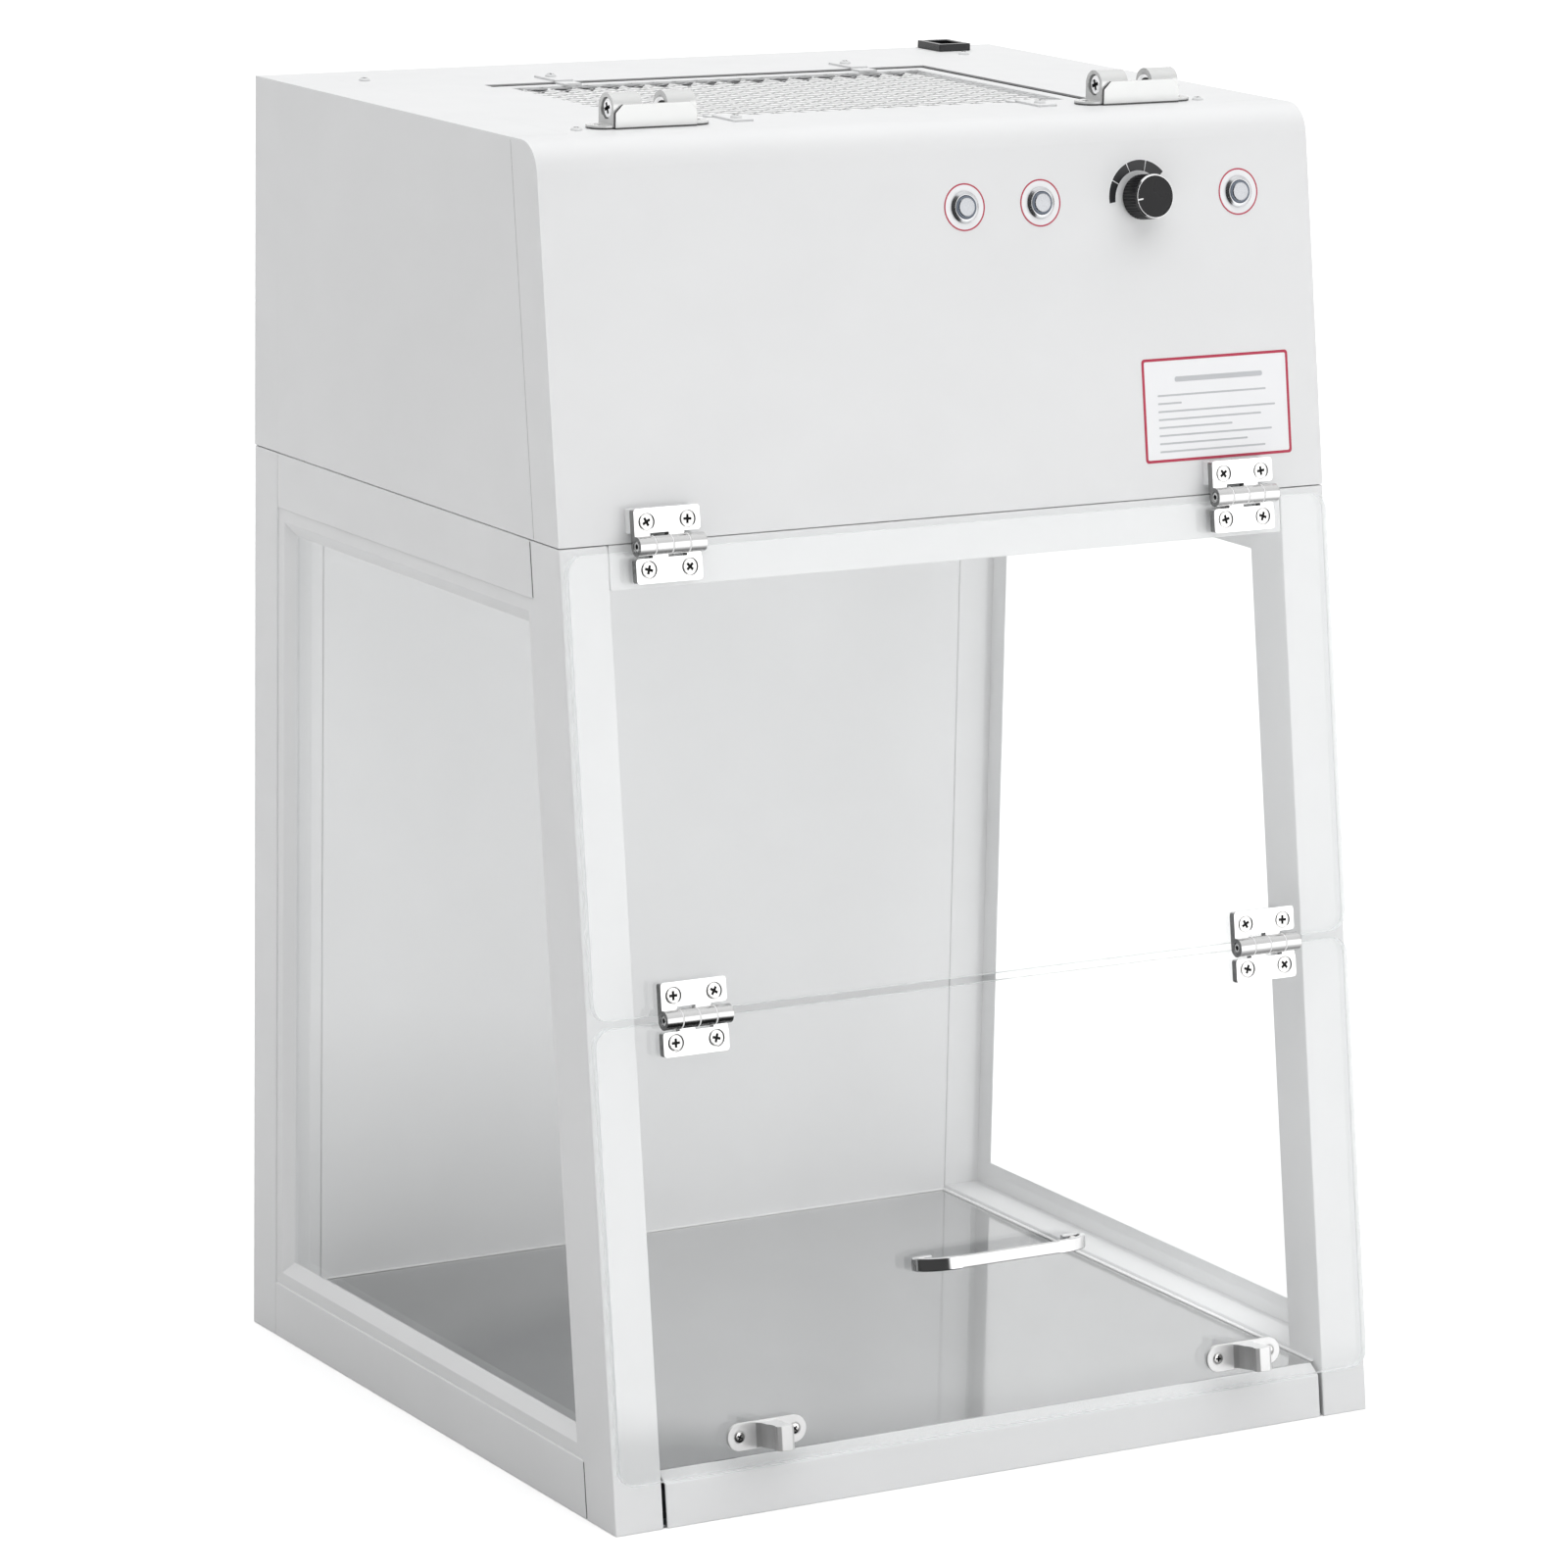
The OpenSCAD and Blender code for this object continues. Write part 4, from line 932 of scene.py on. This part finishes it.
# Plain bars where a notice has its lines: (left edge, width, height, middle) as shares of the plate.
NOTICE_ROWS = [(0.22, 0.6, 0.05, 0.79)]
NOTICE_ROWS += [
    (0.1, width, 0.018, 0.64 - 0.077 * row)
    for row, width in enumerate((0.74, 0.16, 0.8, 0.7, 0.5, 0.77, 0.6, 0.72))
]
plate = [extent(s, TO_FACE) for s in islands("front_labels")]
plate_low, plate_high = max(plate, key=lambda e: e[1].x - e[0].x)
centre = middle(plate_low, plate_high)
size = plate_high - plate_low
bm = bmesh.new()
prism(bm, on_face(centre.x, centre.y), rounded_outline(size.x, size.y, 2 * MM), 0.02 * MM, 0.13 * MM)
add_piece("notice_plate", bm, [FILM], "cabinet")
bm = bmesh.new()
edge = 1.6 * MM
inner = rounded_outline(size.x - 2 * edge, size.y - 2 * edge, 1 * MM)
band(bm, on_face(centre.x, centre.y), rounded_outline(size.x, size.y, 2 * MM), inner, 0.1 * MM, 0.2 * MM)
add_piece("notice_border", bm, [RED], "cabinet")
bm = bmesh.new()
for left, width, height, level in NOTICE_ROWS:
    place = on_face(plate_low.x + (left + width / 2) * size.x, plate_low.y + level * size.y)
    tall = height * size.y
    prism(bm, place, rounded_outline(width * size.x, tall, 0.4 * tall, 3), 0.12 * MM, 0.16 * MM)
add_piece("notice_rows", bm, [INK_GREY], "cabinet")

# ---------------------------------------------------------------- pre-filter


def pleated_media():
    """A pleated white mat: shallow ridges run from front to back, and end in deep folds."""
    low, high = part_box("prefilter_media")
    pitch, steps_y = 15.5 * MM, 40
    count = int((high.x - low.x) / pitch) * 8
    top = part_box("prefilter_mesh")[0].z + 1.4 * MM
    bm, grid = bmesh.new(), []
    for i in range(count + 1):
        x = low.x + (high.x - low.x) * i / count
        phase = (i % 8) / 8
        fold = 1 - abs(2 * phase - 1)
        column = []
        for j in range(steps_y + 1):
            y = low.y + (high.y - low.y) * j / steps_y
            sag = 0.2 * MM * math.sin(7.1 * j + 1.7 * i) * math.sin(2.3 * i)
            deep = 1.6 * MM + 9 * MM * max(0, 1 - min(j, steps_y - j) / 2)
            column.append(bm.verts.new((x, y, top - 0.6 * MM - deep * (1 - fold) ** 1.3 + sag)))
        grid.append(column)
    for a, b in zip(grid, grid[1:]):
        for j in range(steps_y):
            bm.faces.new((a[j], b[j], b[j + 1], a[j + 1]))
    rim = grid[0] + [c[-1] for c in grid[1:]] + grid[-1][-2::-1] + [c[0] for c in grid[-2:0:-1]]
    base = [bm.verts.new((v.co.x, v.co.y, low.z)) for v in rim]
    bridge(bm, rim, base)
    cap(bm, base)
    add_piece("pleated_media", bm, [FIBRE], "cabinet", ["prefilter_media"], smooth=70)


def diamond_mesh():
    """Two layers of slanting strands, clipped to the frame's opening."""
    low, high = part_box("prefilter_mesh")
    z, wide, tall = high.z, 0.18 * MM, 0.15 * MM
    bm = bmesh.new()
    slant = math.radians(38)
    gap = 9 * MM
    for side in (-1, 1):
        along = Vector((math.cos(slant), side * math.sin(slant), 0))
        across = Vector((-along.y, along.x, 0))
        centre = middle(low, high)
        reach = (high - low).length / 2
        z_mid = z - tall * (1.05 if side > 0 else 2.9)
        for i in range(-int(reach / gap), int(reach / gap) + 1):
            start = centre + across * (i * gap)
            ends = []
            for c, a, lo, hi in ((start.x, along.x, low.x, high.x), (start.y, along.y, low.y, high.y)):
                ends.append(sorted(((lo - c) / a, (hi - c) / a)))
            t0, t1 = max(e[0] for e in ends), min(e[1] for e in ends)
            if t1 - t0 < 4 * MM:
                continue
            rings = []
            for t in (t0, t1):
                p = start + along * t
                p.z = z_mid
                corners = ((-wide, -tall), (wide, -tall), (wide, tall), (-wide, tall))
                rings.append([bm.verts.new(p + across * u + Vector((0, 0, v))) for u, v in corners])
            bridge(bm, rings[0], rings[1])
            cap(bm, rings[0])
            cap(bm, rings[1])
    add_piece("diamond_mesh", bm, [WIRE], "cabinet", ["prefilter_mesh"])


def filter_shade_strips():
    """Painted shade: dark strips round the filter's frame, and in it across the ends of the pleats."""
    low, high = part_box("prefilter_frame")
    centre, size = middle(low, high), high - low
    near, far = 0.15 * MM, 0.85 * MM
    outer = rounded_outline(size.x + 2 * far, size.y + 2 * far, 1 * MM)
    inner = rounded_outline(size.x + 2 * near, size.y + 2 * near, 0.3 * MM)
    bm = bmesh.new()
    band(bm, Matrix.Translation((centre.x, centre.y, LID_TOP)), outer, inner, -5 * MM, -0.7 * MM)
    low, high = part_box("prefilter_media")
    for y in (low.y + 0.25 * MM, high.y - 0.25 * MM):
        strip = rounded_outline(high.x - low.x, 0.4 * MM, 0.1 * MM)
        prism(bm, Matrix.Translation((centre.x, y, 0)), strip, high.z - 8 * MM, high.z + 1.4 * MM)
    add_piece("filter_shade_strips", bm, [RUBBER_AND_SHADE], "cabinet")


pleated_media()
diamond_mesh()
filter_shade_strips()

# ---------------------------------------------------------------- studio


def floor():
    """A pale floor that throws less light back up, and looks grey near the object in shiny metal."""
    bm = bmesh.new()
    bmesh.ops.create_grid(bm, x_segments=1, y_segments=1, size=60)
    mesh = bpy.data.meshes.new("floor")
    bm.to_mesh(mesh)
    bm.free()
    obj = bpy.data.objects.new("floor", mesh)
    bpy.context.scene.collection.objects.link(obj)
    material, tree, output = node_material("floor_white")
    path = tree.nodes.new("ShaderNodeLightPath")
    coords = tree.nodes.new("ShaderNodeTexCoord")
    away = tree.nodes.new("ShaderNodeVectorMath")
    away.operation = "LENGTH"
    tree.links.new(coords.outputs["Object"], away.inputs[0])
    distance = tree.nodes.new("ShaderNodeMapRange")
    distance.inputs["From Max"].default_value = 2
    tree.links.new(away.outputs["Value"], distance.inputs["Value"])
    shade = ramp(tree, distance.outputs["Result"], [(0.15, (0.12, 0.12, 0.12)), (0.55, (1.0, 1.0, 1.0))])

    def towards(direction):
        """How far round to a direction a point lies from the object: 1 is straight that way."""
        share = tree.nodes.new("ShaderNodeMath")
        share.operation = "DIVIDE"
        tree.links.new(place_along(tree, direction), share.inputs[0])
        tree.links.new(away.outputs["Value"], share.inputs[1])
        return share.outputs["Value"]

    shade = shaded(tree, shade, towards(Vector((-0.77, -0.64, 0))), 0.42, 0.52, 0.05)
    shade = shaded(tree, shade, towards(Vector((0.5, -0.86, 0))), 0.9, 0.95, 1.4)

    def paper(grey):
        node = tree.nodes.new("ShaderNodeBsdfDiffuse")
        node.inputs["Color"].default_value = (grey, grey, grey, 1)
        return node.outputs["BSDF"]

    glow = tree.nodes.new("ShaderNodeEmission")
    glow.inputs["Strength"].default_value = 0.2
    seen = tree.nodes.new("ShaderNodeAddShader")
    tree.links.new(paper(0.97), seen.inputs[0])
    tree.links.new(glow.outputs["Emission"], seen.inputs[1])
    mirrored = tree.nodes.new("ShaderNodeEmission")
    mirrored.inputs["Strength"].default_value = 1.1
    tree.links.new(shade, mirrored.inputs["Color"])
    shader = seen.outputs["Shader"]
    for ray, other in (("Is Glossy Ray", mirrored.outputs["Emission"]), ("Is Diffuse Ray", paper(0.84))):
        mix = tree.nodes.new("ShaderNodeMixShader")
        tree.links.new(path.outputs[ray], mix.inputs["Fac"])
        tree.links.new(shader, mix.inputs[1])
        tree.links.new(other, mix.inputs[2])
        shader = mix.outputs["Shader"]
    tree.links.new(shader, output.inputs["Surface"])
    mesh.materials.append(material)


def area_light(name, place, target, size, power, colour=(1, 1, 1)):
    light = bpy.data.lights.new(name, "AREA")
    light.shape = "DISK"
    light.size = size
    light.energy = power
    light.color = colour
    obj = bpy.data.objects.new(name, light)
    obj.location = place
    obj.rotation_euler = (Vector(target) - Vector(place)).to_track_quat("-Z", "Y").to_euler()
    obj.visible_glossy = False
    obj.visible_camera = False
    bpy.context.scene.collection.objects.link(obj)


def studio_world():
    """White surroundings for the eye; a bright ceiling and paler walls for the light."""
    world = bpy.data.worlds.new("studio")
    bpy.context.scene.world = world
    world.use_nodes = True
    tree = world.node_tree
    tree.nodes.clear()
    output = tree.nodes.new("ShaderNodeOutputWorld")
    path = tree.nodes.new("ShaderNodeLightPath")
    coords = tree.nodes.new("ShaderNodeTexCoord")
    split = tree.nodes.new("ShaderNodeSeparateXYZ")
    tree.links.new(coords.outputs["Generated"], split.inputs["Vector"])

    def background(stops, brightness):
        height = tree.nodes.new("ShaderNodeMapRange")
        height.inputs["From Min"].default_value = -1
        tree.links.new(split.outputs["Z"], height.inputs["Value"])
        node = tree.nodes.new("ShaderNodeBackground")
        node.inputs["Strength"].default_value = brightness
        grey = ramp(tree, height.outputs["Result"], [(place, (c, c, c)) for place, c in stops])
        tree.links.new(grey, node.inputs["Color"])
        return node

    def switch(ray, otherwise, then):
        mix = tree.nodes.new("ShaderNodeMixShader")
        tree.links.new(path.outputs[ray], mix.inputs["Fac"])
        tree.links.new(otherwise, mix.inputs[1])
        tree.links.new(then, mix.inputs[2])
        return mix.outputs["Shader"]

    lit = background(((0.5, 0.03), (0.78, 0.06), (0.9, 0.75), (1.0, 1.0)), 2.38)
    mirrored = background(((0.5, 0.9), (0.6, 1.0), (0.8, 0.8), (1.0, 1.0)), 1.0)
    seen = background(((0.0, 1.0), (1.0, 1.0)), 1.3)
    # What shiny surfaces mirror: an unlit left side, and a bright screen at the front right.
    left = place_along(tree, Vector((-0.77, -0.64, 0.1)).normalized(), "Generated")
    gleam = ramp(tree, left, [(0.42, (1.0, 1.0, 1.0)), (0.52, (0.05, 0.05, 0.05))])
    screen = place_along(tree, Vector((0.5, -0.86, 0.08)).normalized(), "Generated")
    gleam = shaded(tree, gleam, screen, 0.9, 0.95, 1.7)
    tree.links.new(gleam, mirrored.inputs["Strength"])
    inner = switch("Is Glossy Ray", lit.outputs["Background"], mirrored.outputs["Background"])
    surroundings = switch("Is Camera Ray", inner, seen.outputs["Background"])
    tree.links.new(surroundings, output.inputs["Surface"])


def camera():
    """A long lens from the front left, a little above the object's middle."""
    yaw, pitch, roll = (math.radians(a) for a in (31.113, -12.528, 1.208))
    ahead = Vector((math.sin(yaw) * math.cos(pitch), math.cos(yaw) * math.cos(pitch), math.sin(pitch)))
    right = Vector((math.cos(yaw), -math.sin(yaw), 0))
    up = right.cross(ahead)
    right, up = right * math.cos(roll) + up * math.sin(roll), up * math.cos(roll) - right * math.sin(roll)
    data = bpy.data.cameras.new("camera")
    data.sensor_width = 36
    data.lens = 152.5
    data.shift_x = -0.0334
    data.shift_y = 0.0102
    data.clip_start = 0.05
    obj = bpy.data.objects.new("camera", data)
    axes = Matrix((right, up, -ahead)).transposed().to_4x4()
    obj.matrix_world = Matrix.Translation((-1.9356, -3.2338, 1.1805)) @ axes
    bpy.context.scene.collection.objects.link(obj)
    bpy.context.scene.camera = obj


floor()
studio_world()
area_light("key", (1.6, -3.6, 0.9), (0, 0, 0.35), 2.0, 15)
area_light("low_fill", (0.6, -3.3, 0.35), (0, 0.2, 0.2), 1.2, 15)
area_light("chamber", (0.08, -0.16, 0.16), (0.08, 0.2, 0.12), 0.25, 0.3)
camera()
bpy.context.scene.view_settings.view_transform = "Standard"

bpy.context.view_layer.update()
